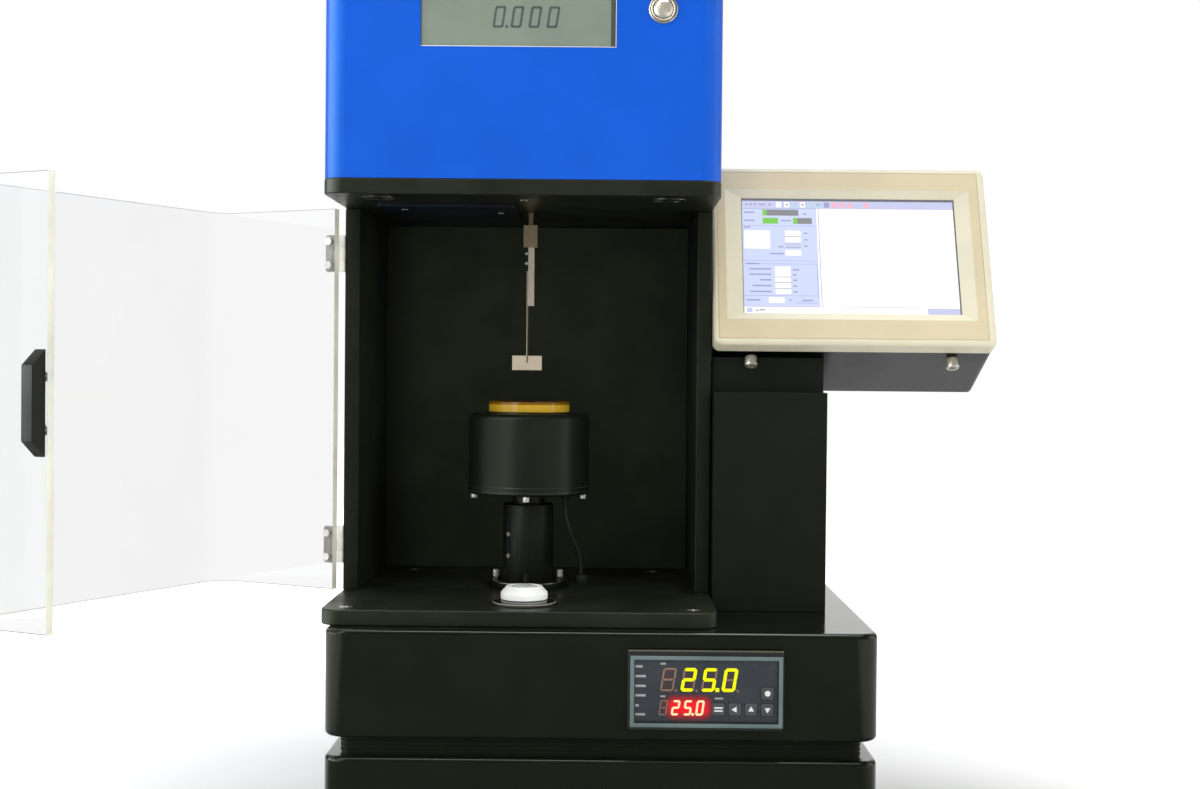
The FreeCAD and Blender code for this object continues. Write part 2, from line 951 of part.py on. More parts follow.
def level_lens():
    disc_top = chamber_floor + level_disc_thickness
    disc = upright(level_disc_radius, chamber_floor, disc_top, level_x, level_y)
    disc = disc.makeFillet(level_disc_edge, edges_on_level(disc, disc_top))
    top = chamber_floor + level_disc_thickness + level_skirt_height + level_cone_height
    radius = (level_bore_radius ** 2 + level_dome_height ** 2) / (2 * level_dome_height)
    centre = Vector(level_x, level_y, top + level_dome_height - radius)
    dome = Part.makeSphere(radius, centre)
    dome = dome.common(upright(level_bore_radius, top, top + level_dome_height + overrun, level_x, level_y))
    rim_z = chamber_floor + level_disc_thickness + level_bore_floor
    vial = upright(level_bore_radius, rim_z, top, level_x, level_y)
    return Part.makeCompound([disc, dome.fuse(vial).removeSplitter()])


# Column, stage and dish


def column_flange():
    top = chamber_floor + flange_thickness
    flange = upright(flange_radius, chamber_floor, top, 0, axis_y)
    flange = flange.makeFillet(flange_edge_radius, edges_on_level(flange, top))
    bore = column_radius + free_gap
    flange = flange.cut(upright(bore, chamber_floor - overrun, top + overrun, 0, axis_y))
    for x, y in on_circle(flange_stud_count, flange_stud_circle):
        flange = flange.cut(upright(flange_stud_radius, chamber_floor - overrun, top + overrun, x, y))
    return flange


def set_screw(height):
    """A set screw in the sleeve's wall, at a height on the sleeve."""
    angle = math.radians(set_screw_bearing)
    out = Vector(math.cos(angle), math.sin(angle), 0)
    z = chamber_floor + flange_thickness + height
    outer = Vector(0, axis_y, z) + out * (sleeve_radius + set_screw_proud)
    inner = outer - out * (set_screw_length + set_screw_proud)
    return round_bar(set_screw_radius, tuple(inner), tuple(outer))


def set_screws():
    return [set_screw(share * sleeve_height) for share in set_screw_height_shares]


def column_sleeve():
    low = chamber_floor + flange_thickness
    sleeve = upright(sleeve_radius, low, sleeve_top, 0, axis_y)
    sleeve = sleeve.makeChamfer(sleeve_chamfer, edges_on_level(sleeve, sleeve_top))
    sleeve = sleeve.cut(upright(column_radius + running_gap, low - overrun, sleeve_top + overrun, 0, axis_y))
    for screw in set_screws():
        sleeve = sleeve.cut(screw)
    return sleeve


def column_fasteners():
    items = set_screws()
    low = chamber_floor - plate_thickness / 2
    high = chamber_floor + flange_thickness + flange_stud_height
    for x, y in on_circle(flange_stud_count, flange_stud_circle):
        stud = upright(flange_stud_radius, low, high, x, y)
        items.append(stud.makeChamfer(flange_stud_chamfer, edges_on_level(stud, high)))
    return Part.makeCompound(items)


def jacket_cover():
    cover = upright(jacket_radius, cover_z, jacket_z, 0, axis_y)
    cover = cover.makeChamfer(jacket_cover_edge, edges_on_level(cover, cover_z))
    cover = cover.cut(upright(column_spigot_radius, cover_z - overrun, jacket_z + overrun, 0, axis_y))
    bush = upright(lead_bush_radius, cover_z - lead_bush_height, cover_z + jacket_cover_edge, *lead_top)
    return cover.fuse(bush)


def jacket_screws():
    screws = []
    for x, y in on_circle(jacket_screw_count, jacket_screw_circle):
        low = cover_z - jacket_screw_head
        head = upright(jacket_screw_radius, low, cover_z, x, y)
        socket = upright(jacket_screw_radius / 2, low, low + jacket_screw_head / 2, x, y)
        screws.append(head.cut(socket))
    return Part.makeCompound(screws)


def jacket_body():
    body = upright(jacket_radius, jacket_z, jacket_top, 0, axis_y)
    body = body.makeFillet(jacket_edge_radius, edges_on_level(body, jacket_top))
    recess = dish_radius + slip_gap
    body = body.cut(upright(recess, dish_seat_z - seat_gap, jacket_top + overrun, 0, axis_y))
    ceiling = dish_seat_z - jacket_floor
    return body.cut(upright(jacket_cavity_radius, jacket_z - overrun, ceiling, 0, axis_y))


def heater_plate():
    ceiling = dish_seat_z - jacket_floor
    return upright(heater_radius, ceiling - heater_thickness, ceiling, 0, axis_y)


def dish():
    floor = dish_seat_z + dish_floor
    inner = dish_radius - dish_wall
    body = upright(dish_radius, dish_seat_z, dish_rim_z, 0, axis_y)
    body = body.makeFillet(dish_floor / 2, edges_on_level(body, dish_seat_z))
    hollow = upright(inner, floor, dish_rim_z + overrun, 0, axis_y)
    hollow = hollow.makeFillet(dish_wall, edges_on_level(hollow, floor))
    body = body.cut(hollow)
    return body.makeFillet(dish_rim_radius, edges_on_level(body, dish_rim_z))


def lead_gland():
    top = chamber_floor + lead_gland_height
    gland = upright(lead_gland_radius, chamber_floor, top, *lead_foot)
    gland = gland.makeChamfer(lead_gland_chamfer, edges_on_level(gland, top))
    low = chamber_floor - lead_gland_shank
    return gland.fuse(upright(lead_gland_shank_radius, low, chamber_floor, *lead_foot))


def lead_route():
    """The heater lead's points, from the jacket down to the gland."""
    start = (*lead_top, cover_z - lead_bush_height)
    end = (*lead_foot, chamber_floor + lead_gland_height)
    return [Vector(*point) for point in (start, *lead_mid_points, end)]


def rounded_path(points, run_share):
    """Straight runs joined by tangent arcs, and the arcs' radii."""
    edges, radii = [], []
    start = points[0]
    for before, corner, after in zip(points, points[1:], points[2:]):
        cut = run_share * min((corner - before).Length, (after - corner).Length)
        back = (before - corner).normalize()
        ahead = (after - corner).normalize()
        turn = math.pi - back.getAngle(ahead)
        radii.append(cut / math.tan(turn / 2))
        first, last = corner + back * cut, corner + ahead * cut
        centre = corner + (back + ahead).normalize() * (cut / math.sin(turn / 2))
        middle = centre + (corner - centre).normalize() * radii[-1]
        edges.append(Part.LineSegment(start, first).toShape())
        edges.append(Part.Arc(first, middle, last).toShape())
        start = last
    edges.append(Part.LineSegment(start, points[-1]).toShape())
    return Part.Wire(edges), radii


def heater_lead():
    points = lead_route()
    path, radii = rounded_path(points, lead_run_share)
    ring = Part.Wire(Part.makeCircle(lead_diameter / 2, points[0], points[1] - points[0]))
    tube = path.makePipeShell([ring], True, False)
    expected = math.pi * (lead_diameter / 2) ** 2 * path.Length
    print("heater lead: radii", [round(radius, 1) for radius in radii], "length", round(path.Length, 1))
    print("heater lead: volume over section times length", round(tube.Volume / expected, 4))
    return tube


# Head with the force sensor


def readout_centre_z():
    return head_z + readout_rise


def head_cover():
    shell = rounded_block(
        -side_x, side_x, 0, plate_depth, head_z, head_top, head_corner_radius, head_edge_radius
    )
    inner = head_corner_radius - head_wall
    hollow = rounded_block(
        head_wall - side_x,
        side_x - head_wall,
        head_wall,
        plate_depth - head_wall,
        head_z - overrun,
        head_top - head_wall,
        inner,
        head_edge_radius - head_wall,
    )
    shell = shell.cut(hollow)
    z = readout_centre_z()
    window = block(
        readout_x - readout_width / 2,
        readout_x + readout_width / 2,
        -overrun,
        head_wall + overrun,
        z - readout_height / 2,
        z + readout_height / 2,
    )
    shell = shell.cut(window)
    hole = button_barrel_radius + running_gap
    return shell.cut(round_bar(hole, (button_x, -overrun, z), (button_x, head_wall + overrun, z)))


def readout_module():
    z = readout_centre_z()
    half_width = readout_width / 2 + readout_border
    half_height = readout_height / 2 + readout_border
    body = block(
        readout_x - half_width,
        readout_x + half_width,
        head_wall,
        head_wall + readout_module_depth,
        z - half_height,
        z + half_height,
    )
    glass = block(
        readout_x - readout_width / 2 + slip_gap,
        readout_x + readout_width / 2 - slip_gap,
        head_wall / 2,
        head_wall,
        z - readout_height / 2 + slip_gap,
        z + readout_height / 2 - slip_gap,
    )
    return body.fuse(glass)


def button_bezel():
    z = readout_centre_z()
    flange = round_bar(button_flange_radius, (button_x, -button_flange_thickness, z), (button_x, 0, z))
    edges = edges_on_level(flange, -button_flange_thickness, 1)
    flange = flange.makeFillet(button_flange_thickness / 2, edges)
    barrel = round_bar(button_barrel_radius, (button_x, 0, z), (button_x, button_barrel_length, z))
    body = flange.fuse(barrel)
    bore = button_cap_radius + running_gap
    floor = button_cap_rear() + button_travel + button_back_gap
    return body.cut(round_bar(bore, (button_x, -button_flange_thickness - overrun, z), (button_x, floor, z)))


def button_cap_rear():
    return button_cap_length - button_flange_thickness - button_cap_proud


def button_cap():
    z = readout_centre_z()
    front = -button_flange_thickness - button_cap_proud
    cap = round_bar(button_cap_radius, (button_x, front, z), (button_x, button_cap_rear(), z))
    return cap.makeFillet(button_cap_edge, edges_on_level(cap, front, 1))


def load_cell():
    half = cell_width / 2
    beam_z = head_z + cell_foot_height
    right = side_x - cell_wall_gap
    cell_length = cell_free_overhang + right
    beam = block(-cell_free_overhang, right, axis_y - half, axis_y + half, beam_z, beam_z + cell_height)
    foot_block = block(right - cell_foot_length, right, axis_y - half, axis_y + half, head_z, beam_z)
    beam = beam.fuse(foot_block).removeSplitter()
    for share in cell_eye_shares:
        x = -cell_free_overhang + share * cell_length
        z = beam_z + cell_height / 2
        beam = beam.cut(round_bar(cell_eye_radius, (x, axis_y - cell_width, z), (x, axis_y + cell_width, z)))
    hole = upright(hanger_rod_radius, beam_z - overrun, beam_z + cell_height + overrun, 0, axis_y)
    return beam.cut(hole)


def hanger_rod():
    nut_z = head_z + cell_foot_height + cell_height
    rod = upright(hanger_rod_radius, block_top, nut_z + hanger_nut_height, 0, axis_y)
    rod = rod.fuse(upright(hanger_nut_radius, nut_z, nut_z + hanger_nut_height, 0, axis_y))
    half = block_side / 2
    fork = block(-half, half, axis_y - half, axis_y + half, block_z, block_top)
    slot = bar_thickness / 2 + slip_gap
    roof = block_top - block_slot_roof
    side = half + overrun
    fork = fork.cut(block(-side, side, axis_y - slot, axis_y + slot, block_z - overrun, roof))
    pin_z = block_top - hanger_pin_drop
    pin = round_bar(hanger_pin_radius, (bar_offset, axis_y - half, pin_z), (bar_offset, axis_y + half, pin_z))
    return rod.fuse(fork).fuse(pin).removeSplitter()


def bar_low():
    """The lower end of the flat bar."""
    return block_z - bar_span_share * (block_z - blade_z - blade_height)


def wire_top():
    return block_z - jaw_height / 2


def blade_wire(low, high):
    return upright(wire_radius, low, high, blade_offset, axis_y)


def hanger_bar():
    pin_z = block_top - hanger_pin_drop
    left = bar_offset - bar_width / 2
    half = bar_thickness / 2
    bar = block(left, left + bar_width, axis_y - half, axis_y + half, bar_low(), pin_z + bar_head)
    eye = hanger_pin_radius + running_gap
    start, end = axis_y - block_side, axis_y + block_side
    bar = bar.cut(round_bar(eye, (bar_offset, start, pin_z), (bar_offset, end, pin_z)))
    jaw_z = block_z - free_gap - jaw_height
    jaw = block(left - jaw_width, left, axis_y - half, axis_y + half, jaw_z, jaw_z + jaw_height)
    wire = blade_wire(bar_low() - overrun, wire_top())
    solids = [bar.cut(wire), jaw.cut(wire)]
    for share in clamp_screw_shares:
        x, z = left - jaw_screw_inset, jaw_z + share * jaw_height
        solids.append(
            round_bar(clamp_screw_radius, (x, axis_y - half - clamp_screw_head, z), (x, axis_y - half, z))
        )
    return Part.makeCompound(solids)


def platinum_plate():
    half = blade_width / 2
    top = blade_z + blade_height
    blade = block(
        blade_offset - half,
        blade_offset + half,
        axis_y - blade_thickness / 2,
        axis_y + blade_thickness / 2,
        blade_z,
        top,
    )
    return blade.fuse(blade_wire(top - wire_overlap, wire_top()))


# Door, drawn closed


def door_low():
    return chamber_floor + door_edge_gap


def door_high():
    return chamber_top - door_edge_gap


def hinge_levels():
    """The middle height of each hinge."""
    return chamber_floor + hinge_end_distance, chamber_top - hinge_end_distance


def door_screw_y():
    return hinge_door_edge() - hinge_door_leaf / 2


def hinge_door_edge():
    """Where the door's hinged edge ends, ahead of the side panel."""
    return panel_setback - door_hinge_gap


def hinge_screw_levels():
    return [level + side * hinge_screw_rise for level in hinge_levels() for side in (-1, 1)]


def handle_y():
    """The middle of the handle, along the door's free leg."""
    return door_free_setback - handle_inset - handle_thickness / 2


def handle_bolt_levels():
    middle = (chamber_floor + chamber_top) / 2
    return [middle + side * handle_bolt_spacing / 2 for side in (-1, 1)]


def bent_sheet(thickness_inset, radius):
    """A block whose two front upright edges are rounded."""
    shape = block(
        thickness_inset - side_x,
        side_x - thickness_inset,
        thickness_inset - door_front_reach,
        hinge_door_edge() + thickness_inset,
        door_low() - thickness_inset,
        door_high() + thickness_inset,
    )
    front = [
        edge
        for edge in parallel_edges(shape, Vector(0, 0, 1))
        if edge.BoundBox.YMax < thickness_inset - door_front_reach + level_tolerance
    ]
    return shape.makeFillet(radius, front)


def door_sheet():
    sheet = bent_sheet(0, door_bend_radius)
    sheet = sheet.cut(bent_sheet(door_sheet_thickness, door_bend_radius - door_sheet_thickness))
    sheet = sheet.cut(
        block(
            side_x / 2,
            side_x + overrun,
            door_free_setback,
            hinge_door_edge() + overrun,
            door_low() - overrun,
            door_high() + overrun,
        )
    )
    wall = door_sheet_thickness + overrun
    for z in hinge_screw_levels():
        y = door_screw_y()
        sheet = sheet.cut(round_bar(hinge_screw_radius, (-side_x - overrun, y, z), (wall - side_x, y, z)))
    for z in handle_bolt_levels():
        y = handle_y()
        bolt = round_bar(handle_bolt_radius, (side_x - wall, y, z), (side_x + overrun, y, z))
        sheet = sheet.cut(bolt)
    return sheet


def door_handle():
    middle = (chamber_floor + chamber_top) / 2
    low, high = middle - handle_length / 2, middle + handle_length / 2
    slope = (handle_length - handle_top_length) / 2
    y0 = handle_y() - handle_thickness / 2
    corners = [
        Vector(side_x, y0, low),
        Vector(side_x + handle_depth, y0, low + slope),
        Vector(side_x + handle_depth, y0, high - slope),
        Vector(side_x, y0, high),
    ]
    face = Part.Face(Part.makePolygon(corners + corners[:1]))
    handle = face.extrude(Vector(0, handle_thickness, 0))
    y = handle_y()
    for z in handle_bolt_levels():
        bolt = round_bar(handle_bolt_radius, (side_x - overrun, y, z), (side_x + handle_bolt_depth, y, z))
        handle = handle.cut(bolt)
    return handle


def door_screws():
    items = []
    inner = door_sheet_thickness - side_x
    outer = -side_x - hinge_leaf_thickness
    for z in hinge_screw_levels():
        y = door_screw_y()
        shank = round_bar(hinge_screw_radius, (outer, y, z), (inner + hinge_nut_height, y, z))
        head = round_bar(hinge_screw_head_radius, (outer - hinge_screw_head, y, z), (outer, y, z))
        nut = round_bar(hinge_screw_head_radius, (inner, y, z), (inner + hinge_nut_height, y, z))
        items.append(shank.fuse(head).fuse(nut))
    inner = side_x - door_sheet_thickness
    for z in handle_bolt_levels():
        y = handle_y()
        shank = round_bar(handle_bolt_radius, (inner, y, z), (side_x + handle_bolt_depth, y, z))
        head = round_bar(handle_bolt_head_radius, (inner - handle_bolt_head, y, z), (inner, y, z))
        items.append(shank.fuse(head))
    return Part.makeCompound(items)


def hinge_leaf(level, start, end, knuckles):
    """One leaf of a hinge: a flat from start to end along y, with its knuckles."""
    low, high = level - hinge_height / 2, level + hinge_height / 2
    plate = block(-side_x - hinge_leaf_thickness, -side_x, min(start, end), max(start, end), low, high)
    corners = [
        edge
        for edge in parallel_edges(plate, Vector(1, 0, 0))
        if abs(edge.BoundBox.YMax - end) < level_tolerance
    ]
    plate = plate.makeFillet(hinge_leaf_rounding, corners)
    reach = hinge_knuckle_radius + slip_gap
    plate = plate.cut(upright(reach, low - overrun, high + overrun, hinge_x, hinge_y))
    root = -side_x - hinge_leaf_thickness
    for z0, z1 in knuckles:
        plate = plate.fuse(upright(hinge_knuckle_radius, z0, z1, hinge_x, hinge_y))
        plate = plate.fuse(block(root, -side_x, min(hinge_y, start), max(hinge_y, start), z0, z1))
    bore = hinge_pin_radius + running_gap
    return plate.cut(upright(bore, low - overrun, high + overrun, hinge_x, hinge_y))


def knuckle_levels(level):
    """The three knuckles of a hinge, from the bottom up."""
    low, high = level - hinge_height / 2, level + hinge_height / 2
    middle = hinge_knuckle_share * hinge_height / 2
    return (
        (low, level - middle - slip_gap),
        (level - middle, level + middle),
        (level + middle + slip_gap, high),
    )


def door_hinge_leaves():
    leaves = []
    for level in hinge_levels():
        start = hinge_y - hinge_knuckle_radius
        leaf = hinge_leaf(level, start, start - hinge_door_leaf, knuckle_levels(level)[1:2])
        for side in (-1, 1):
            z = level + side * hinge_screw_rise
            y = door_screw_y()
            outer = -side_x - hinge_leaf_thickness - overrun
            leaf = leaf.cut(round_bar(hinge_screw_radius, (outer, y, z), (overrun - side_x, y, z)))
        leaves.append(leaf)
    return Part.makeCompound(leaves)


def frame_hinge_leaves():
    items = []
    for level in hinge_levels():
        start = hinge_y + hinge_knuckle_radius
        knuckles = knuckle_levels(level)[::2]
        items.append(hinge_leaf(level, start, start + hinge_frame_leaf, knuckles))
        low, high = level - hinge_height / 2, level + hinge_height / 2
        items.append(upright(hinge_pin_radius, low, high, hinge_x, hinge_y))
        for side in (-1, 1):
            z = level + side * hinge_screw_rise
            y = start + hinge_frame_leaf / 2
            outer = -side_x - hinge_leaf_thickness
            items.append(round_bar(hinge_screw_head_radius, (outer - hinge_screw_head, y, z), (outer, y, z)))
    return Part.makeCompound(items)


# Touch screen


def leaned(shape):
    """Leans a shape of the screen unit back about its lower front edge."""
    return tilted(shape, -screen_tilt, (0, screen_setback, screen_low_z()), (1, 0, 0))


def screen_left():
    return side_x + screen_left_gap


def screen_low_z():
    """The height of the screen unit's lower front edge, so that its rear edge rests on the pedestal."""
    depth = bezel_depth + rear_case_depth
    return pedestal_top + depth * math.sin(math.radians(screen_tilt))


def upright_frame(left, right, low, high, y):
    """A rectangular outline that stands across the y axis."""
    corners = [Vector(left, y, low), Vector(right, y, low), Vector(right, y, high), Vector(left, y, high)]
    return Part.makePolygon(corners + corners[:1])


def screen_bezel():
    x0, y0, z0 = screen_left(), screen_setback, screen_low_z()
    x1, z1 = x0 + screen_unit_width, z0 + screen_unit_height
    frame = block(x0, x1, y0, y0 + bezel_depth, z0, z1)
    frame = frame.makeFillet(bezel_corner_radius, parallel_edges(frame, Vector(0, 1, 0)))
    frame = frame.makeFillet(bezel_edge_radius, edges_on_level(frame, y0, 1))
    wall = bezel_wall
    slope_y, rear_y = y0 + bezel_slope_depth, y0 + bezel_depth + overrun
    frame = frame.cut(block(x0 + wall, x1 - wall, slope_y + bezel_lip, rear_y, z0 + wall, z1 - wall))
    left, low = x0 + bezel_recess_left, z0 + bezel_recess_rise
    outer = upright_frame(left, left + bezel_recess_width, low, low + bezel_recess_height, y0)
    left, low = x0 + glass_left, z0 + glass_rise
    inner = upright_frame(left, left + glass_width, low, low + glass_height, slope_y)
    frame = frame.cut(Part.makeLoft([outer, inner], True, True))
    opening = block(left, left + glass_width, y0, rear_y, low, low + glass_height)
    return leaned(frame.cut(opening))


def screen_panel():
    x0, z0 = screen_left() + glass_left, screen_low_z() + glass_rise
    border = screen_panel_border
    front = screen_setback + bezel_slope_depth + bezel_lip
    panel = block(
        x0 - border,
        x0 + glass_width + border,
        front,
        front + screen_panel_depth,
        z0 - border,
        z0 + glass_height + border,
    )
    return leaned(panel)


def screen_case():
    inset = rear_case_inset
    x0, x1 = screen_left() + inset, screen_left() + screen_unit_width - inset
    z0, z1 = screen_low_z(), screen_low_z() + screen_unit_height - inset
    front = screen_setback + bezel_depth
    rear = front + rear_case_depth
    case = block(x0, x1, front, rear, z0, z1)
    case = case.makeFillet(bezel_corner_radius - inset, parallel_edges(case, Vector(0, 1, 0)))
    case = case.makeFillet(rear_case_edge_radius, edges_on_level(case, rear, 1))
    wall = rear_case_wall
    case = case.cut(block(x0 + wall, x1 - wall, front - overrun, rear - wall, z0 + wall, z1 - wall))
    return leaned(case)


def pedestal():
    front = pedestal_setback
    rear = front + pedestal_depth
    slope = math.tan(math.radians(screen_tilt))
    wedge_front = front + wedge_setback
    depth = (bezel_depth + rear_case_depth) * math.cos(math.radians(screen_tilt))
    wedge_rear = screen_setback + depth
    wedge_top = pedestal_top + (wedge_rear - wedge_front) * slope
    outline = [
        (front, deck_z),
        (front, pedestal_top),
        (wedge_front, pedestal_top),
        (wedge_front, wedge_top),
        (wedge_rear, pedestal_top),
        (rear, pedestal_top),
        (rear, deck_z),
    ]
    body = prism(outline, pedestal_left, pedestal_left + pedestal_width)
    wall = pedestal_wall
    hollow = block(
        pedestal_left + wall,
        pedestal_left + pedestal_width - wall,
        front + wall,
        rear - wall,
        deck_z - overrun,
        pedestal_top - wall,
    )
    return body.cut(hollow)


def build():
    """Every sub-part by its node's name."""
    parts = {
        "lower_housing": lower_housing(),
        "base_floor": base_floor(),
        "power_supply": power_supply(),
        "control_board": control_board(),
        "power_entry": power_entry(),
        "power_rocker": power_rocker(),
        "neck_frame": neck_frame(),
        "upper_housing": deck_with_screw_holes(upper_housing()),
        "lift_motor": lift_motor(),
        "lead_screw": lead_screw(),
        "guide_rods": guide_rods(),
        "lift_carriage": lift_carriage(),
        "lift_column": lift_column(),
        "controller_case": controller_case(),
        "controller_window": controller_window(),
        "base_plate": base_plate(),
        "base_plate_screws": base_plate_screws(),
        "side_panel_left": side_panel(-1),
        "side_panel_right": side_panel(1),
        "back_wall": back_wall(),
        "head_plate": head_plate(),
        "service_cover": service_cover(),
        "level_body": level_body(),
        "level_lens": level_lens(),
        "column_flange": column_flange(),
        "column_sleeve": column_sleeve(),
        "column_fasteners": column_fasteners(),
        "jacket_cover": jacket_cover(),
        "jacket_screws": jacket_screws(),
        "jacket_body": jacket_body(),
        "heater_plate": heater_plate(),
        "dish": dish(),
        "lead_gland": lead_gland(),
        "heater_lead": heater_lead(),
        "head_cover": head_cover(),
        "readout_module": readout_module(),
        "button_bezel": button_bezel(),
        "button_cap": button_cap(),
        "load_cell": load_cell(),
        "hanger_rod": hanger_rod(),
        "hanger_bar": hanger_bar(),
        "platinum_plate": platinum_plate(),
        "frame_hinge_leaves": frame_hinge_leaves(),
        "pedestal": pedestal(),
        "screen_case": screen_case(),
        "screen_bezel": screen_bezel(),
        "screen_panel": screen_panel(),
    }
    for name, (x, y) in foot_places().items():
        parts[name] = foot(x, y)
    for name in key_columns:
        parts[name] = controller_key(name)
    door = {
        "door_sheet": door_sheet(),
        "door_handle": door_handle(),
        "door_hinge_leaves": door_hinge_leaves(),
        "door_screws": door_screws(),
    }
    for name, shape in door.items():
        parts[name] = tilted(shape, -door_open_angle, (hinge_x, hinge_y, 0), (0, 0, 1))
    return parts


def middle_of(parts):
    """The middle of the instrument on the bench, without the free cord."""
    bounds = FreeCAD.BoundBox()
    for name, shape in parts.items():
        if name != "heater_lead":
            bounds.add(shape.optimalBoundingBox(False))
    return Vector((bounds.XMin + bounds.XMax) / 2, (bounds.YMin + bounds.YMax) / 2, 0)


parts = build()
origin = middle_of(parts)
print("origin at", [round(value, 4) for value in origin])
os.makedirs("parts", exist_ok=True)
for name, shape in parts.items():
    placed = shape.copy()
    placed.translate(-origin)
    placed.exportStep(f"parts/{name}.step")
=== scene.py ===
"""Dresses the frame of a bench surface tensiometer: its finishes, fine detail, studio and camera.

Sizes are in millimetres from the front middle of the chamber's floor unless a name says otherwise.
"""

from __future__ import annotations

import logging
import math
from collections.abc import Callable, Iterable, Sequence
from dataclasses import dataclass, field
from enum import Enum

import bmesh
import bpy
from mathutils import Matrix, Vector


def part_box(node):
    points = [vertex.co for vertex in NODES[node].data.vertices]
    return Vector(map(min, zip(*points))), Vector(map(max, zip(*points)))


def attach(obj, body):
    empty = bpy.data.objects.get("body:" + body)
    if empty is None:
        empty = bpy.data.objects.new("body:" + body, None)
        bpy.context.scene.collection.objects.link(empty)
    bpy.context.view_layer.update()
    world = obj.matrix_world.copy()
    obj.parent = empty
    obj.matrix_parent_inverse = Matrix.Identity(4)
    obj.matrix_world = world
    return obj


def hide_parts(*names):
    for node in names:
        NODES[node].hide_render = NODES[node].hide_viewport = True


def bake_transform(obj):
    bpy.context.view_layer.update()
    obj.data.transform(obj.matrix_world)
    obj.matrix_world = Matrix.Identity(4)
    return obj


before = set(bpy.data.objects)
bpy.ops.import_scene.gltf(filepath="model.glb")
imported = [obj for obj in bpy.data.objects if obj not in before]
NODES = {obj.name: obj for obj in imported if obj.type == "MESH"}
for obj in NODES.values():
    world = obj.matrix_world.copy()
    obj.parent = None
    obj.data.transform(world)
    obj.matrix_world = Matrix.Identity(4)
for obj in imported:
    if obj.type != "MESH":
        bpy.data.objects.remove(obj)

LOG = logging.getLogger("tensiometer")
MM = 0.001
UP = Vector((0, 0, 1))
TINY = 1e-4
CREASE = math.radians(32)
FLAT = math.radians(0.4)
SHARP = math.radians(40)
SAWN = math.radians(60)

Span = tuple[float, float]
Point = tuple[float, float, float]
Colour = tuple[float, float, float]


class Body(Enum):
    """The moving bodies that pieces ride on."""

    ROOT = "root"
    DOOR = "door"
    STAGE = "stage"
    DISH = "dish"
    HANGER = "hanger"
    TARE = "tare_button"
    FOOT_FRONT_LEFT = "foot_front_left_body"
    FOOT_FRONT_RIGHT = "foot_front_right_body"
    FOOT_REAR_LEFT = "foot_rear_left_body"
    FOOT_REAR_RIGHT = "foot_rear_right_body"
    KEY_MODE = "key_mode_body"
    KEY_LEFT = "key_left_body"
    KEY_UP = "key_up_body"
    KEY_DOWN = "key_down_body"
    KEY_ROUND = "key_round_body"


def corner(node: str, x: float, y: float, z: float) -> Vector:
    """A place in a node's box.

    Args:
        node: The frame node's name.
        x: Share of the box's width, 0 at its left.
        y: Share of its depth, 0 at its front.
        z: Share of its height, 0 at its foot.

    Returns:
        The point, in metres.
    """
    low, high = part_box(node)
    return Vector(a + (b - a) * share for a, b, share in zip(low, high, (x, y, z)))


DATUM = corner("base_plate", 0.5, 0.0, 1.0)
TO_FRAME = Matrix.Translation(DATUM) @ Matrix.Scale(MM, 4)


def span(node: str, axis: int) -> Span:
    """A node's reach along one axis, in millimetres from the datum.

    Args:
        node: The frame node's name.
        axis: 0, 1 or 2 for x, y or z.

    Returns:
        The lowest and highest value.
    """
    low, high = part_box(node)
    return (low[axis] - DATUM[axis]) / MM, (high[axis] - DATUM[axis]) / MM


def middle(node: str, axis: int) -> float:
    """The middle of a node along one axis."""
    return sum(span(node, axis)) / 2


# Finishes


class Tree:
    """Adds nodes to a material, a world or a node group and wires them up."""

    def __init__(self, tree: bpy.types.NodeTree) -> None:
        """Starts on an existing tree."""
        self.tree = tree

    def add(self, kind: str, inputs: dict | None = None, **settings: object) -> bpy.types.Node:
        """Adds one node.

        Args:
            kind: The node's type without its ShaderNode prefix.
            inputs: Sockets to link or constants to set, by input name or number.
            settings: Properties of the node itself.

        Returns:
            The new node.
        """
        node = self.tree.nodes.new("ShaderNode" + kind)
        for key, value in settings.items():
            setattr(node, key, value)
        for key, value in (inputs or {}).items():
            if isinstance(value, bpy.types.NodeSocket):
                self.tree.links.new(value, node.inputs[key])
            else:
                node.inputs[key].default_value = value
        return node

    def link(self, value: bpy.types.NodeSocket, node: bpy.types.Node, name: str) -> None:
        """Feeds a node's named input from a socket."""
        self.tree.links.new(value, node.inputs[name])

    def math(self, operation: str, *values: object) -> bpy.types.NodeSocket:
        """One sum, product or comparison of sockets and numbers."""
        return self.add("Math", dict(enumerate(values)), operation=operation).outputs[0]

    def ramp(self, value: object, low: float, high: float, to: Span = (0.0, 1.0)) -> bpy.types.NodeSocket:
        """Maps a value smoothly from one range to another.

        Args:
            value: The socket to map.
            low: The value that gives the first result.
            high: The value that gives the second.
            to: The two results.

        Returns:
            The mapped socket.
        """
        inputs = {"Value": value, "From Min": low, "From Max": high, "To Min": to[0], "To Max": to[1]}
        return self.add("MapRange", inputs, interpolation_type="SMOOTHSTEP").outputs["Result"]

    def blend(self, share: object, first: object, second: object) -> bpy.types.NodeSocket:
        """Blends two colours by a share."""
        inputs = {0: share, 6: rgba(first), 7: rgba(second)}
        return self.add("Mix", inputs, data_type="RGBA", clamp_factor=True).outputs[2]

    def noise(self, scale: float, detail: float = 2.0, stretch: Point = (1, 1, 1)) -> bpy.types.NodeSocket:
        """Noise over the piece's own coordinates.

        Args:
            scale: Grains per metre.
            detail: Finer layers of noise.
            stretch: Scale along each axis, for a pattern that runs one way.

        Returns:
            The noise, about 0.5 on average.
        """
        place = self.add("TexCoord").outputs["Object"]
        place = self.add("Mapping", {"Vector": place, "Scale": stretch}).outputs["Vector"]
        return self.add("TexNoise", {"Vector": place, "Scale": scale, "Detail": detail}).outputs["Fac"]


def rgba(colour: object) -> object:
    """A colour with its opacity, or the socket as it is."""
    return (*colour, 1.0) if isinstance(colour, tuple) else colour


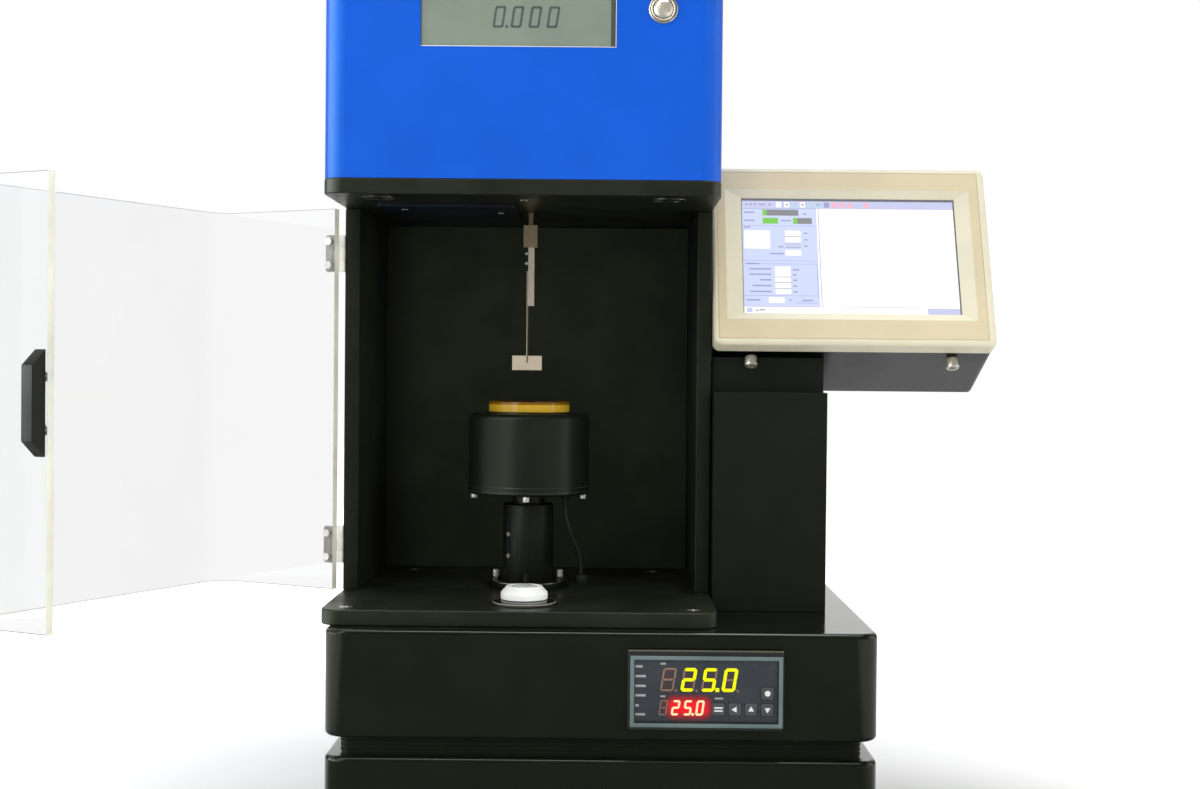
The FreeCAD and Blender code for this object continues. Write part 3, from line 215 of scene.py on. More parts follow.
def new_group(name: str, inputs: dict[str, float],
              outputs: Sequence[str]) -> tuple[Tree, bpy.types.Node, bpy.types.Node]:
    """Starts a shader node group.

    Args:
        name: The group's name.
        inputs: Its number inputs with their usual values.
        outputs: Its number outputs.

    Returns:
        The group's tree, its input node and its output node.
    """
    tree = bpy.data.node_groups.new(name, "ShaderNodeTree")
    for key, value in inputs.items():
        tree.interface.new_socket(name=key, in_out="INPUT", socket_type="NodeSocketFloat").default_value = value
    for key in outputs:
        tree.interface.new_socket(name=key, in_out="OUTPUT", socket_type="NodeSocketFloat")
    return Tree(tree), tree.nodes.new("NodeGroupInput"), tree.nodes.new("NodeGroupOutput")


class Effects:
    """Surface effects that several finishes share, each a node group built once."""

    def __init__(self) -> None:
        """Builds every group."""
        self.grain = self._grain()
        self.dust = self._dust()
        self.smudge = self._smudge()
        self.brushed = self._brushed()

    def _grain(self) -> bpy.types.NodeTree:
        """The fine pebble of sprayed paint and moulded plastic, as a height.

        Returns:
            The node group.
        """
        tree, given, result = new_group("surface grain", {"Scale": 1500.0, "Coarse": 0.3}, ["Height"])
        place = tree.add("TexCoord").outputs["Object"]
        fine = tree.add("TexNoise", {"Vector": place, "Scale": given.outputs["Scale"], "Detail": 3.0})
        slow = tree.math("MULTIPLY", given.outputs["Scale"], 0.13)
        wide = tree.add("TexNoise", {"Vector": place, "Scale": slow, "Detail": 1.0})
        share = tree.math("MULTIPLY", wide.outputs["Fac"], given.outputs["Coarse"])
        tree.link(tree.math("ADD", fine.outputs["Fac"], share), result, "Height")
        return tree.tree

    def _dust(self) -> bpy.types.NodeTree:
        """Specks and a thin film of dust that settle on faces that look up, as a mask.

        Returns:
            The node group.
        """
        tree, given, result = new_group("settled dust", {"Specks": 1.0, "Film": 0.3}, ["Mask"])
        coordinates = tree.add("TexCoord")
        upward = tree.add("SeparateXYZ", {0: coordinates.outputs["Normal"]}).outputs["Z"]
        upward = tree.ramp(upward, 0.6, 0.98)
        place = coordinates.outputs["Object"]
        cells = tree.add("TexVoronoi", {"Vector": place, "Scale": 260.0})
        chosen = tree.add("SeparateColor", {0: cells.outputs["Color"]})
        size = tree.ramp(chosen.outputs[1], 0.0, 1.0, (0.03, 0.11))
        speck = tree.math("LESS_THAN", cells.outputs["Distance"], size)
        speck = tree.math("MULTIPLY", speck, tree.math("GREATER_THAN", chosen.outputs[0], 0.84))
        speck = tree.math("MULTIPLY", speck, given.outputs["Specks"])
        film = tree.ramp(tree.noise(45.0, 5.0), 0.35, 0.75)
        film = tree.math("MULTIPLY", film, given.outputs["Film"])
        mask = tree.math("MULTIPLY", tree.math("MAXIMUM", speck, film), upward)
        tree.link(mask, result, "Mask")
        return tree.tree

    def _smudge(self) -> bpy.types.NodeTree:
        """Wide soft patches and wiped streaks that change the gloss, from 0 to 1.

        Returns:
            The node group.
        """
        tree, given, result = new_group("smudges", {"Scale": 18.0, "Streaks": 0.4}, ["Mask"])
        place = tree.add("TexCoord").outputs["Object"]
        patch = tree.add("TexNoise", {"Vector": place, "Scale": given.outputs["Scale"], "Detail": 4.0})
        patch = tree.ramp(patch.outputs["Fac"], 0.35, 0.68)
        streak = tree.ramp(tree.noise(60.0, 3.0, (1.0, 6.0, 0.25)), 0.45, 0.75)
        streak = tree.math("MULTIPLY", streak, given.outputs["Streaks"])
        mask = tree.math("MAXIMUM", patch, streak)
        tree.link(mask, result, "Mask")
        return tree.tree

    def _brushed(self) -> bpy.types.NodeTree:
        """Fine lines of brushed or turned metal, as a height that follows one axis.

        Returns:
            The node group.
        """
        tree, given, result = new_group("brushed lines", {"X": 1.0, "Y": 1.0, "Z": 0.03, "Scale": 5000.0}, ["Height"])
        place = tree.add("TexCoord").outputs["Object"]
        stretch = tree.add("CombineXYZ", {axis: given.outputs[axis] for axis in "XYZ"}).outputs[0]
        place = tree.add("VectorMath", {0: place, 1: stretch}, operation="MULTIPLY").outputs[0]
        lines = tree.add("TexNoise", {"Vector": place, "Scale": given.outputs["Scale"], "Detail": 2.0})
        tree.link(lines.outputs["Fac"], result, "Height")
        return tree.tree


EFFECTS = Effects()


def new_material(name: str) -> tuple[bpy.types.Material, Tree, bpy.types.Node]:
    """Starts a material.

    Args:
        name: The material's name.

    Returns:
        The material, its tree and its surface shader.
    """
    material = bpy.data.materials.new(name)
    material.use_nodes = True
    return material, Tree(material.node_tree), material.node_tree.nodes["Principled BSDF"]


@dataclass(frozen=True)
class Coating:
    """Paint, moulded plastic or rubber: a coloured skin with grain, smudges and dust, with painted shade and a painted
    glow where asked.
    """

    name: str
    colour: Colour
    roughness: float = 0.4
    specular: float = 0.5
    variation: float = 0.12
    grain: float = 1500.0
    grain_depth: float = 0.02
    coarse: float = 0.3
    smudge: float = 0.08
    dust: float = 0.0
    film: float = 0.1
    dust_colour: Colour = (0.32, 0.32, 0.29)
    # Painted glow: the skin lights itself in its own colour, though it is no lamp.
    glow: float = 0.0
    under: float = 0.0
    top_gloss: float = 0.0
    tint: Colour = (1.0, 1.0, 1.0)
    # Painted shade: along one axis, between the two ends given, the colour and the specular level drop to a share of
    # their full value towards the first end; it can be kept to faces that look down.
    shade: Span = (0.0, 0.0)
    painted_shade_axis: str = "X"
    painted_shade_share: float = 0.12
    painted_shade_below: bool = False

    def material(self) -> bpy.types.Material:
        """The finish as a material.

        Returns:
            The new material.
        """
        material, tree, surface = new_material(self.name)
        darker = tuple(channel * (1 - self.variation) for channel in self.colour)
        lighter = tuple(min(1.0, channel * (1 + self.variation)) for channel in self.colour)
        colour = tree.blend(tree.ramp(tree.noise(30.0, 4.0), 0.3, 0.7), darker, lighter)
        shaded_specular = None
        # Painted shade: the colour and the reflection grow darker towards one end of the span, as if shade fell there.
        if self.shade[1]:
            start = DATUM["XYZ".index(self.painted_shade_axis)]
            along = tree.add("SeparateXYZ", {0: tree.add("TexCoord").outputs["Object"]}).outputs[self.painted_shade_axis]
            lit_share = tree.ramp(along, *(start + edge * MM for edge in self.shade))
            if self.painted_shade_below:
                facing = tree.add("SeparateXYZ", {0: tree.add("TexCoord").outputs["Normal"]}).outputs["Z"]
                lit_share = tree.math("MAXIMUM", lit_share, tree.ramp(facing, -0.6, -0.2))
            colour = tree.blend(lit_share, tuple(channel * self.painted_shade_share for channel in self.colour), colour)
            shaded_specular = tree.ramp(lit_share, 0.0, 1.0, (self.specular * self.painted_shade_share, self.specular))
        smudge = tree.add("Group", node_tree=EFFECTS.smudge)
        rough = tree.ramp(smudge.outputs["Mask"], 0.0, 1.0, (self.roughness, self.roughness + self.smudge))
        if self.dust or self.film:
            dust = tree.add("Group", {"Specks": self.dust, "Film": self.film}, node_tree=EFFECTS.dust)
            colour = tree.blend(dust.outputs["Mask"], colour, self.dust_colour)
        grain = tree.add("Group", {"Scale": self.grain, "Coarse": self.coarse}, node_tree=EFFECTS.grain)
        bump = tree.add("Bump", {"Height": grain.outputs["Height"], "Distance": self.grain_depth * MM})
        tree.link(colour, surface, "Base Color")
        tree.link(rough, surface, "Roughness")
        tree.link(bump.outputs["Normal"], surface, "Normal")
        surface.inputs["Specular IOR Level"].default_value = self.specular
        if shaded_specular:
            tree.link(shaded_specular, surface, "Specular IOR Level")
        surface.inputs["Subsurface Weight"].default_value = self.under
        surface.inputs["Specular Tint"].default_value = rgba(self.tint)
        if self.top_gloss:
            upward = tree.add("SeparateXYZ", {0: tree.add("TexCoord").outputs["Normal"]}).outputs["Z"]
            gloss = tree.ramp(upward, 0.9, 0.99, (self.specular, self.top_gloss))
            tree.link(gloss, surface, "Specular IOR Level")
        # Painted glow: the surface gives off light in its own colour.
        if self.glow:
            surface.inputs["Emission Color"].default_value = rgba(self.colour)
            surface.inputs["Emission Strength"].default_value = self.glow
        return material


@dataclass(frozen=True)
class Metal:
    """Bare metal with fine lines and handled patches."""

    name: str
    colour: Colour
    roughness: float = 0.3
    lines: Point = (1.0, 1.0, 0.03)
    fineness: float = 5000.0
    depth: float = 0.01
    spread: float = 0.12
    stain: Colour = (0.35, 0.31, 0.25)
    stain_share: float = 0.25
    metal: float = 1.0

    def material(self) -> bpy.types.Material:
        """The finish as a material.

        Returns:
            The new material.
        """
        material, tree, surface = new_material(self.name)
        patch = tree.ramp(tree.noise(220.0, 4.0), 0.4, 0.8, (0.0, self.stain_share))
        colour = tree.blend(patch, self.colour, self.stain)
        smudge = tree.add("Group", {"Scale": 90.0}, node_tree=EFFECTS.smudge)
        rough = tree.ramp(smudge.outputs["Mask"], 0.0, 1.0, (self.roughness, self.roughness + self.spread))
        inputs = {"X": self.lines[0], "Y": self.lines[1], "Z": self.lines[2], "Scale": self.fineness}
        lines = tree.add("Group", inputs, node_tree=EFFECTS.brushed)
        bump = tree.add("Bump", {"Height": lines.outputs["Height"], "Distance": self.depth * MM})
        tree.link(colour, surface, "Base Color")
        tree.link(rough, surface, "Roughness")
        tree.link(bump.outputs["Normal"], surface, "Normal")
        surface.inputs["Metallic"].default_value = self.metal
        return material


@dataclass(frozen=True)
class Clear:
    """Clear or tinted sheet, glass and moulded windows."""

    name: str
    colour: Colour
    roughness: float = 0.0
    haze: float = 0.03
    index: float = 1.49
    share: float = 1.0
    glow: float = 0.0
    sheen: float = 1.0

    def material(self) -> bpy.types.Material:
        """The finish as a material.

        Returns:
            The new material.
        """
        material, tree, surface = new_material(self.name)
        smudge = tree.add("Group", {"Scale": 25.0}, node_tree=EFFECTS.smudge)
        rough = tree.ramp(smudge.outputs["Mask"], 0.0, 1.0, (self.roughness, self.roughness + self.haze))
        faded = tuple(channel * 0.985 for channel in self.colour)
        colour = tree.blend(tree.ramp(tree.noise(14.0, 3.0), 0.3, 0.7), self.colour, faded)
        tree.link(colour, surface, "Base Color")
        tree.link(rough, surface, "Roughness")
        surface.inputs["IOR"].default_value = self.index
        surface.inputs["Transmission Weight"].default_value = self.share
        surface.inputs["Specular Tint"].default_value = (self.sheen, self.sheen, self.sheen, 1.0)
        # Painted glow: the glass gives off light in its own colour, though it is no lamp.
        if self.glow:
            surface.inputs["Emission Color"].default_value = rgba(self.colour)
            surface.inputs["Emission Strength"].default_value = self.glow
        return material


@dataclass(frozen=True)
class Lit:
    """A lit part of a readout or a picture."""

    name: str
    colour: Colour
    strength: float = 1.0
    body: float = 0.05
    fade: float = 0.04

    def material(self) -> bpy.types.Material:
        """The finish as a material.

        Returns:
            The new material.
        """
        material, tree, surface = new_material(self.name)
        dimmer = tuple(channel * (1 - self.fade) for channel in self.colour)
        light = tree.blend(tree.ramp(tree.noise(9.0, 2.0), 0.35, 0.65), self.colour, dimmer)
        tree.link(light, surface, "Emission Color")
        surface.inputs["Emission Strength"].default_value = self.strength
        surface.inputs["Base Color"].default_value = rgba(tuple(channel * self.body for channel in self.colour))
        surface.inputs["Roughness"].default_value = 0.35
        surface.inputs["Specular IOR Level"].default_value = 0.2
        return material


@dataclass(frozen=True)
class Glow:
    """A dark window that glows softly round a readout, strongest inside a box."""

    name: str
    colour: Colour
    dark: Colour
    centre: Span
    half: Span
    soft: float
    strength: float

    def material(self) -> bpy.types.Material:
        """The finish as a material.

        Returns:
            The new material.
        """
        material, tree, surface = new_material(self.name)
        place = tree.add("SeparateXYZ", {0: tree.add("TexCoord").outputs["Object"]})
        far = []
        for axis, centre, half in (("X", self.centre[0], self.half[0]), ("Z", self.centre[1], self.half[1])):
            start = DATUM[0 if axis == "X" else 2] + centre * MM
            away = tree.math("ABSOLUTE", tree.math("SUBTRACT", place.outputs[axis], start))
            past = tree.math("MAXIMUM", tree.math("SUBTRACT", away, half * MM), 0.0)
            far.append(tree.math("POWER", past, 2.0))
        away = tree.math("SQRT", tree.math("ADD", *far))
        near = tree.math("POWER", tree.ramp(away, self.soft * MM, 0.0), 1.8)
        light = tree.math("MULTIPLY", near, self.strength)
        tree.link(light, surface, "Emission Strength")
        glass = tree.blend(tree.ramp(away, self.soft * MM, 0.0), self.dark, (0.01, 0.002, 0.003))
        tree.link(glass, surface, "Base Color")
        surface.inputs["Emission Color"].default_value = rgba(self.colour)
        surface.inputs["Roughness"].default_value = 0.25
        surface.inputs["Specular IOR Level"].default_value = 0.2
        return material


WARM: Colour = (0.95, 1.0, 0.82)


class Paintbox:
    """Every finish of the instrument, each made into a material once."""

    finishes: dict[str, object] = {
        "base_gloss": Coating("base_gloss", (0.0068, 0.0084, 0.0049), 0.07, 0.3, grain=700, grain_depth=0.003,
                              dust=0.3, film=0.015, smudge=0.06, top_gloss=0.8, tint=WARM),
        "neck_black": Coating("neck_black", (0.0085, 0.0102, 0.0062), 0.45, 0.1, grain=1800, grain_depth=0.02,
                              film=0.0, variation=0.1, tint=WARM),
        "chamber_black": Coating("chamber_black", (0.0098, 0.0117, 0.0071), 0.36, 0.25, grain=2200,
                                 grain_depth=0.03, dust=0.6, film=0.03, smudge=0.1, variation=0.2, tint=WARM),
        "head_plate_black": Coating("head_plate_black", (0.0088, 0.0105, 0.0064), 0.3, 0.5, grain=2200,
                                    grain_depth=0.03, film=0.03, smudge=0.1, variation=0.2, tint=WARM),
        # Painted light: a lighter copy of the chamber black for the dim base plate, with dust on top.
        "plate_black": Coating("plate_black", (0.016, 0.0187, 0.0117), 0.3, 0.3, grain=2200,
                               grain_depth=0.006, dust=0.6, film=0.05, smudge=0.12, variation=0.2, tint=WARM),
        # Painted light and shade: a lighter copy of the chamber black for the dim back wall, with painted shade towards
        # its left end.
        "wall_black_lit_and_shaded": Coating("wall_black_lit_and_shaded", (0.0205, 0.0245, 0.015), 0.5, 0.2, grain=2200,
                              grain_depth=0.03, film=0.0, smudge=0.1, variation=0.16, tint=WARM,
                              shade=(-125.0, -78.0), painted_shade_share=0.42),
        # Painted light: a lighter copy of the chamber black for the side panels' inner faces, brightest at the rear and
        # darker towards the front.
        "inner_black_painted_light": Coating("inner_black_painted_light", (0.024, 0.0285, 0.0175), 0.5, 0.2, grain=2200,
                               grain_depth=0.03, film=0.0, smudge=0.1, variation=0.16, tint=WARM,
                               shade=(10.0, 235.0), painted_shade_axis="Y", painted_shade_share=0.38),
        "pedestal_black": Coating("pedestal_black", (0.0085, 0.0112, 0.0078), 0.55, 0.12, grain=1800,
                                  film=0.0, variation=0.08, tint=WARM),
        # The cover's dark blue is matched to how it looks in the shade under the head plate, so it carries painted
        # shade.
        "cover_navy": Coating("cover_navy", (0.006, 0.009, 0.02), 0.3, 0.3, grain=1800, film=0.0),
        "head_blue": Coating("head_blue", (0.0005, 0.076, 0.59), 0.34, 0.5, grain=1100, grain_depth=0.05,
                             coarse=0.5, film=0.0, variation=0.04, smudge=0.06, tint=(0.4, 1.0, 0.8)),
        "clear_acrylic": Clear("clear_acrylic", (0.93, 0.93, 0.93), 0.0, 0.02, sheen=0.1),
        # The sawn faces' opaque cream is partly their frosted look and partly painted light carried along the sheet.
        "acrylic_edge": Coating("acrylic_edge", (0.82, 0.77, 0.65), 0.35, 0.5, grain=500, grain_depth=0.05,
                                variation=0.12, film=0.0, under=0.3),
        "handle_black": Coating("handle_black", (0.009, 0.0105, 0.0065), 0.45, 0.25, grain=1800, grain_depth=0.04,
                                film=0.0),
        "hinge_steel": Coating("hinge_steel", (0.93, 0.88, 0.82), 0.3, 0.6, grain=1800, film=0.0),
        "worn_rim": Metal("worn_rim", (0.34, 0.33, 0.30), 0.22, (1.0, 1.0, 1.0)),
        "bar_steel": Metal("bar_steel", (0.62, 0.56, 0.45), 0.42, metal=0.62),
        # The rod's colour is darkened partly as painted shade from the head plate above it.
        "rod_steel": Metal("rod_steel", (0.34, 0.27, 0.165), 0.42, metal=0.78),
        "steel": Metal("steel", (0.64, 0.60, 0.52), 0.32, metal=0.8),
        "bright_steel": Metal("bright_steel", (0.82, 0.80, 0.76), 0.2, depth=0.004, stain_share=0.15, metal=0.75),
        "hammered_steel": Metal("hammered_steel", (0.95, 0.90, 0.78), 0.24, (1.0, 1.0, 1.0), 420, 0.25,
                                stain=(0.42, 0.33, 0.19), stain_share=0.5, metal=0.72),
        "button_steel": Metal("button_steel", (0.80, 0.75, 0.64), 0.15, depth=0.004, stain=(0.34, 0.27, 0.15),
                              stain_share=0.35, metal=0.92),
        "black_steel": Coating("black_steel", (0.0075, 0.0088, 0.006), 0.38, 0.3, grain=1500, grain_depth=0.02,
                               film=0.0, tint=WARM),
        "platinum": Metal("platinum", (0.80, 0.71, 0.56), 0.5, (1.0, 1.0, 1.0), 2600, 0.06, stain=(0.66, 0.54, 0.36),
                          metal=0.7),
        "wire_metal": Metal("wire_metal", (0.40, 0.34, 0.25), 0.35),
        # Painted glow: the level's white plastic lights itself, standing in for light it lacks in the shade of the
        # head.
        "white_plastic": Coating("white_plastic", (0.93, 0.93, 0.91), 0.35, 0.5, grain=1500, film=0.0, under=0.1,
                                 glow=0.16),
        "clear_plastic": Clear("clear_plastic", (0.93, 0.95, 0.93), 0.02, 0.03, 1.25),
        "cream_field": Coating("cream_field", (0.64, 0.555, 0.365), 0.45, 0.3, grain=1500, grain_depth=0.03,
                               film=0.0, variation=0.03),
        "cream_plastic": Coating("cream_plastic", (0.71, 0.67, 0.50), 0.38, 0.4, grain=1500, grain_depth=0.03,
                                 film=0.0, variation=0.03),
        "cream_groove": Coating("cream_groove", (0.36, 0.30, 0.18), 0.5, 0.2, film=0.0),
        "screen_glass": Coating("screen_glass", (0.02, 0.02, 0.024), 0.15, 0.4, film=0.0),
        # Painted shade: the underside of the screen case is darker and less glossy over the pedestal, left of its right
        # side.
        "case_black": Coating("case_black", (0.012, 0.0125, 0.011), 0.3, 0.45, grain=1500, grain_depth=0.03,
                              dust=0.2, film=0.04, shade=(199.5, 213.0), painted_shade_below=True),
        "controller_grey": Coating("controller_grey", (0.014, 0.017, 0.013), 0.4, 0.4, grain=1600, film=0.02),
        "controller_trim": Coating("controller_trim", (0.122, 0.168, 0.17), 0.4, 0.3, grain=1600, film=0.0),
        # Painted highlight: the pale lip colour stands in for the light line along the controller's top edge.
        "controller_lip_highlight": Coating("controller_lip_highlight", (0.085, 0.083, 0.066), 0.45, 0.15, grain=1600, film=0.0),
        "controller_face": Coating("controller_face", (0.036, 0.042, 0.05), 0.22, 0.45, grain=900, film=0.0,
                                   grain_depth=0.01),
        "key_rubber": Coating("key_rubber", (0.062, 0.066, 0.072), 0.55, 0.3, grain=2600, film=0.0),
        # Painted highlight: a pale ring that stands in for the light on the clear disc's edge.
        "disc_edge_highlight": Coating("disc_edge_highlight", (0.34, 0.30, 0.26), 0.15, 0.6, film=0.0),
        "lcd": Coating("lcd", (0.21, 0.258, 0.208), 0.16, 0.35, grain=400, grain_depth=0.006, film=0.0,
                       variation=0.06),
        "lcd_frame": Coating("lcd_frame", (0.07, 0.075, 0.065), 0.4, 0.3, film=0.0),
        "lcd_dark": Coating("lcd_dark", (0.095, 0.118, 0.113), 0.3, 0.2, film=0.0),
        "rubber": Coating("rubber", (0.018, 0.018, 0.018), 0.6, 0.3, grain=2000, grain_depth=0.06),
        "lead_black": Coating("lead_black", (0.024, 0.028, 0.021), 0.4, 0.4, grain=2500, film=0.0),
        "jacket_black": Coating("jacket_black", (0.0085, 0.0102, 0.0068), 0.36, 0.32, grain=900,
                                grain_depth=0.006, film=0.01, tint=WARM),
        "jacket_edge": Coating("jacket_edge", (0.03, 0.032, 0.028), 0.25, 0.6, film=0.0),
        "brass": Metal("brass", (0.70, 0.50, 0.22), 0.3),
        "board_green": Coating("board_green", (0.02, 0.17, 0.06), 0.35, 0.5),
        "zinc": Metal("zinc", (0.62, 0.63, 0.64), 0.38, (1.0, 1.0, 1.0), 1200),
        "motor_black": Coating("motor_black", (0.03, 0.03, 0.033), 0.45, 0.4),
        "inlet_black": Coating("inlet_black", (0.015, 0.015, 0.015), 0.4, 0.45, film=0.02),
        # Painted glow: the amber dish lights itself a little, as painted light.
        "amber_glass": Clear("amber_glass", (0.70, 0.44, 0.03), 0.12, 0.08, 1.45, 0.15, 0.05),
        "dish_rim": Clear("dish_rim", (0.70, 0.58, 0.34), 0.02, 0.03, 1.5),
        "mark_grey": Coating("mark_grey", (0.30, 0.32, 0.31), 0.5, 0.3, film=0.0),
        "mark_white": Coating("mark_white", (0.72, 0.74, 0.74), 0.5, 0.3, film=0.0),
        "red_glow": Glow("red_glow", (1.0, 0.012, 0.03), (0.036, 0.042, 0.05), (106.0, -55.3), (8.6, 1.2), 9.4, 0.95),
        "digit_yellow": Lit("digit_yellow", (0.92, 1.0, 0.0), 1.0),
        "digit_red": Lit("digit_red", (1.0, 0.78, 0.42), 1.1),
        "ghost_brown": Coating("ghost_brown", (0.24, 0.145, 0.10), 0.3, 0.3, film=0.0),
        "ghost_fill": Coating("ghost_fill", (0.052, 0.038, 0.043), 0.3, 0.3, film=0.0),
        "picture_white": Lit("picture_white", (1.0, 1.0, 1.0), 1.05, fade=0.0),
        "picture_blue": Lit("picture_blue", (0.64, 0.70, 0.97)),
        "picture_lilac": Lit("picture_lilac", (0.60, 0.62, 0.86)),
        "picture_line": Lit("picture_line", (0.36, 0.37, 0.60)),
        "picture_grey": Lit("picture_grey", (0.27, 0.27, 0.29)),
        "picture_green": Lit("picture_green", (0.22, 0.62, 0.10)),
        "picture_pink": Lit("picture_pink", (0.93, 0.50, 0.62)),
        "picture_cyan": Lit("picture_cyan", (0.50, 0.68, 0.78)),
        "picture_shadow": Lit("picture_shadow", (0.17, 0.17, 0.20)),
    }

    def __init__(self) -> None:
        """Starts with an empty shelf."""
        self.made: dict[str, bpy.types.Material] = {}

    def __getitem__(self, name: str) -> bpy.types.Material:
        """The material of a finish, made on first use.

        Args:
            name: The finish's name.

        Returns:
            The material.
        """
        if name not in self.made:
            self.made[name] = self.finishes[name].material()
        return self.made[name]


PAINT = Paintbox()


# Shapes


class Workpiece:
    """A mesh in the making, in millimetres from the datum."""

    def __init__(self) -> None:
        """Starts empty."""
        self.mesh = bmesh.new()

    def take(self, part: bmesh.types.BMesh, tone: int = 0) -> None:
        """Adds a finished part to the piece.

        Args:
            part: The part's mesh, which is used up.
            tone: Which of the piece's materials its faces get, or -1 to keep their own.
        """
        if tone >= 0:
            for face in part.faces:
                face.material_index = tone
        spare = bpy.data.meshes.new("spare")
        part.to_mesh(spare)
        part.free()
        self.mesh.from_mesh(spare)
        bpy.data.meshes.remove(spare)

    def node(self, name: str) -> None:
        """Adds a merged copy of a frame node, its flat faces joined up.

        Args:
            name: The frame node's name.
        """
        part = bmesh.new()
        part.from_mesh(NODES[name].data)
        part.transform(TO_FRAME.inverted())
        bmesh.ops.remove_doubles(part, verts=part.verts, dist=TINY)
        bmesh.ops.dissolve_limit(part, angle_limit=FLAT, verts=part.verts, edges=part.edges)
        self.take(part)

    def block(self, x: Span, y: Span, z: Span, edge: float = 0.0, tone: int = 0, segments: int = 2) -> None:
        """Adds a block with softened edges.

        Args:
            x: Its left and right side.
            y: Its front and rear.
            z: Its foot and top.
            edge: The radius of its edges.
            tone: Which of the piece's materials it gets.
            segments: Faces across each rounded edge.
        """
        part = bmesh.new()
        size = Vector((x[1] - x[0], y[1] - y[0], z[1] - z[0]))
        place = Vector((sum(x) / 2, sum(y) / 2, sum(z) / 2))
        bmesh.ops.create_cube(part, size=1.0, matrix=Matrix.Translation(place) @ Matrix.Diagonal((*size, 1.0)))
        if edge:
            soften(part, part.edges, edge, segments)
        self.take(part, tone)

    def rod(self, start: Point, end: Point, radius: float, sides: int = 32, edge: float = 0.0,
            tone: int = 0, turn: float = 0.0) -> None:
        """Adds a bar of round or many-sided section.

        Args:
            start: The middle of its first end.
            end: The middle of its second end.
            radius: Its radius.
            sides: How many sides it has.
            edge: The rounding of both rims.
            tone: Which of the piece's materials it gets.
            turn: A turn about its own line, in degrees.
        """
        first, last = Vector(start), Vector(end)
        part = bmesh.new()
        bmesh.ops.create_cone(part, cap_ends=True, segments=sides, radius1=radius,
                              radius2=radius, depth=(last - first).length)
        if edge:
            rims = [e for e in part.edges if abs(e.verts[0].co.z - e.verts[1].co.z) < TINY]
            soften(part, rims, edge, 2)
        aim = UP.rotation_difference(last - first).to_matrix().to_4x4()
        part.transform(Matrix.Translation((first + last) / 2) @ aim @ Matrix.Rotation(math.radians(turn), 4, "Z"))
        self.take(part, tone)

    def turned(self, profile: Sequence[Span], base: Point, line: Point = (0, 0, 1), steps: int = 48,
               tone: int = 0, tones: Callable[[Vector], int] | None = None) -> None:
        """Adds a turned shape.

        Args:
            profile: Its outline as (radius, height) pairs, from the axis and back to it.
            base: Where the axis starts.
            line: The way the axis runs.
            steps: Faces round the axis.
            tone: Which of the piece's materials it gets.
            tones: Picks the material of a face by the middle of the face, if it has several.
        """
        part = bmesh.new()
        points = [part.verts.new((radius, 0, height)) for radius, height in profile]
        edges = [part.edges.new(pair) for pair in zip(points, points[1:])]
        bmesh.ops.spin(part, geom=points + edges, cent=(0, 0, 0), axis=(0, 0, 1), angle=2 * math.pi,
                       steps=steps, use_merge=True, use_duplicate=False)
        bmesh.ops.remove_doubles(part, verts=part.verts, dist=TINY)
        bmesh.ops.recalc_face_normals(part, faces=part.faces)
        for face in part.faces:
            face.material_index = tones(face.calc_center_median()) if tones else tone
        aim = UP.rotation_difference(Vector(line)).to_matrix().to_4x4()
        part.transform(Matrix.Translation(Vector(base)) @ aim)
        self.take(part, -1)

    def surround(self, x: Span, z: Span, inner_x: Span, inner_z: Span, y: Span, edge: float = 0.0,
                 tone: int = 0) -> None:
        """Adds a rectangular frame that stands across the y axis.

        Args:
            x: Its outer left and right.
            z: Its outer foot and top.
            inner_x: The left and right of its opening.
            inner_z: The foot and top of its opening.
            y: Its front and rear.
            edge: The rounding of its edges.
            tone: Which of the piece's materials it gets.
        """
        part = bmesh.new()
        rings = [[part.verts.new((xs[i], y[0], zs[j])) for i, j in ((0, 0), (1, 0), (1, 1), (0, 1))]
                 for xs, zs in ((x, z), (inner_x, inner_z))]
        for i in range(4):
            j = (i + 1) % 4
            part.faces.new((rings[0][i], rings[0][j], rings[1][j], rings[1][i]))
        raised = bmesh.ops.extrude_face_region(part, geom=list(part.faces), use_keep_orig=True)["geom"]
        verts = [item for item in raised if isinstance(item, bmesh.types.BMVert)]
        bmesh.ops.translate(part, verts=verts, vec=(0, y[1] - y[0], 0))
        bmesh.ops.recalc_face_normals(part, faces=part.faces)
        if edge:
            soften(part, part.edges, edge, 2)
        self.take(part, tone)

    def bar(self, centre: Span, length: float, width: float, y: Span, upright: bool, tone: int = 0,
            slant: float = 0.0, foot: float = 0.0) -> None:
        """Adds one pointed bar of a digit, standing across the y axis.

        Args:
            centre: Its middle, along x and z.
            length: Its length from point to point.
            width: Its width.
            y: Its front and rear.
            upright: Whether it runs up instead of across.
            tone: Which of the piece's materials it gets.
            slant: How far its x moves for each millimetre of height.
            foot: The height from which it leans.
        """
        part = bmesh.new()
        along, across = (2, 0) if upright else (0, 2)
        size = [0.0, y[1] - y[0], 0.0]
        size[along], size[across] = length, width
        place = Vector((centre[0], sum(y) / 2, centre[1]))
        bmesh.ops.create_cube(part, size=1.0, matrix=Matrix.Translation(place) @ Matrix.Diagonal((*size, 1.0)))
        ends = [e for e in part.edges if abs(e.verts[0].co.y - e.verts[1].co.y) > TINY]
        soften(part, ends, width * 0.47, 1)
        lean = Matrix.Identity(4)
        lean[0][2], lean[0][3] = slant, -slant * foot
        part.transform(lean)
        self.take(part, tone)

    def move(self, matrix: Matrix) -> None:
        """Moves or turns all that the piece holds so far."""
        self.mesh.transform(matrix)

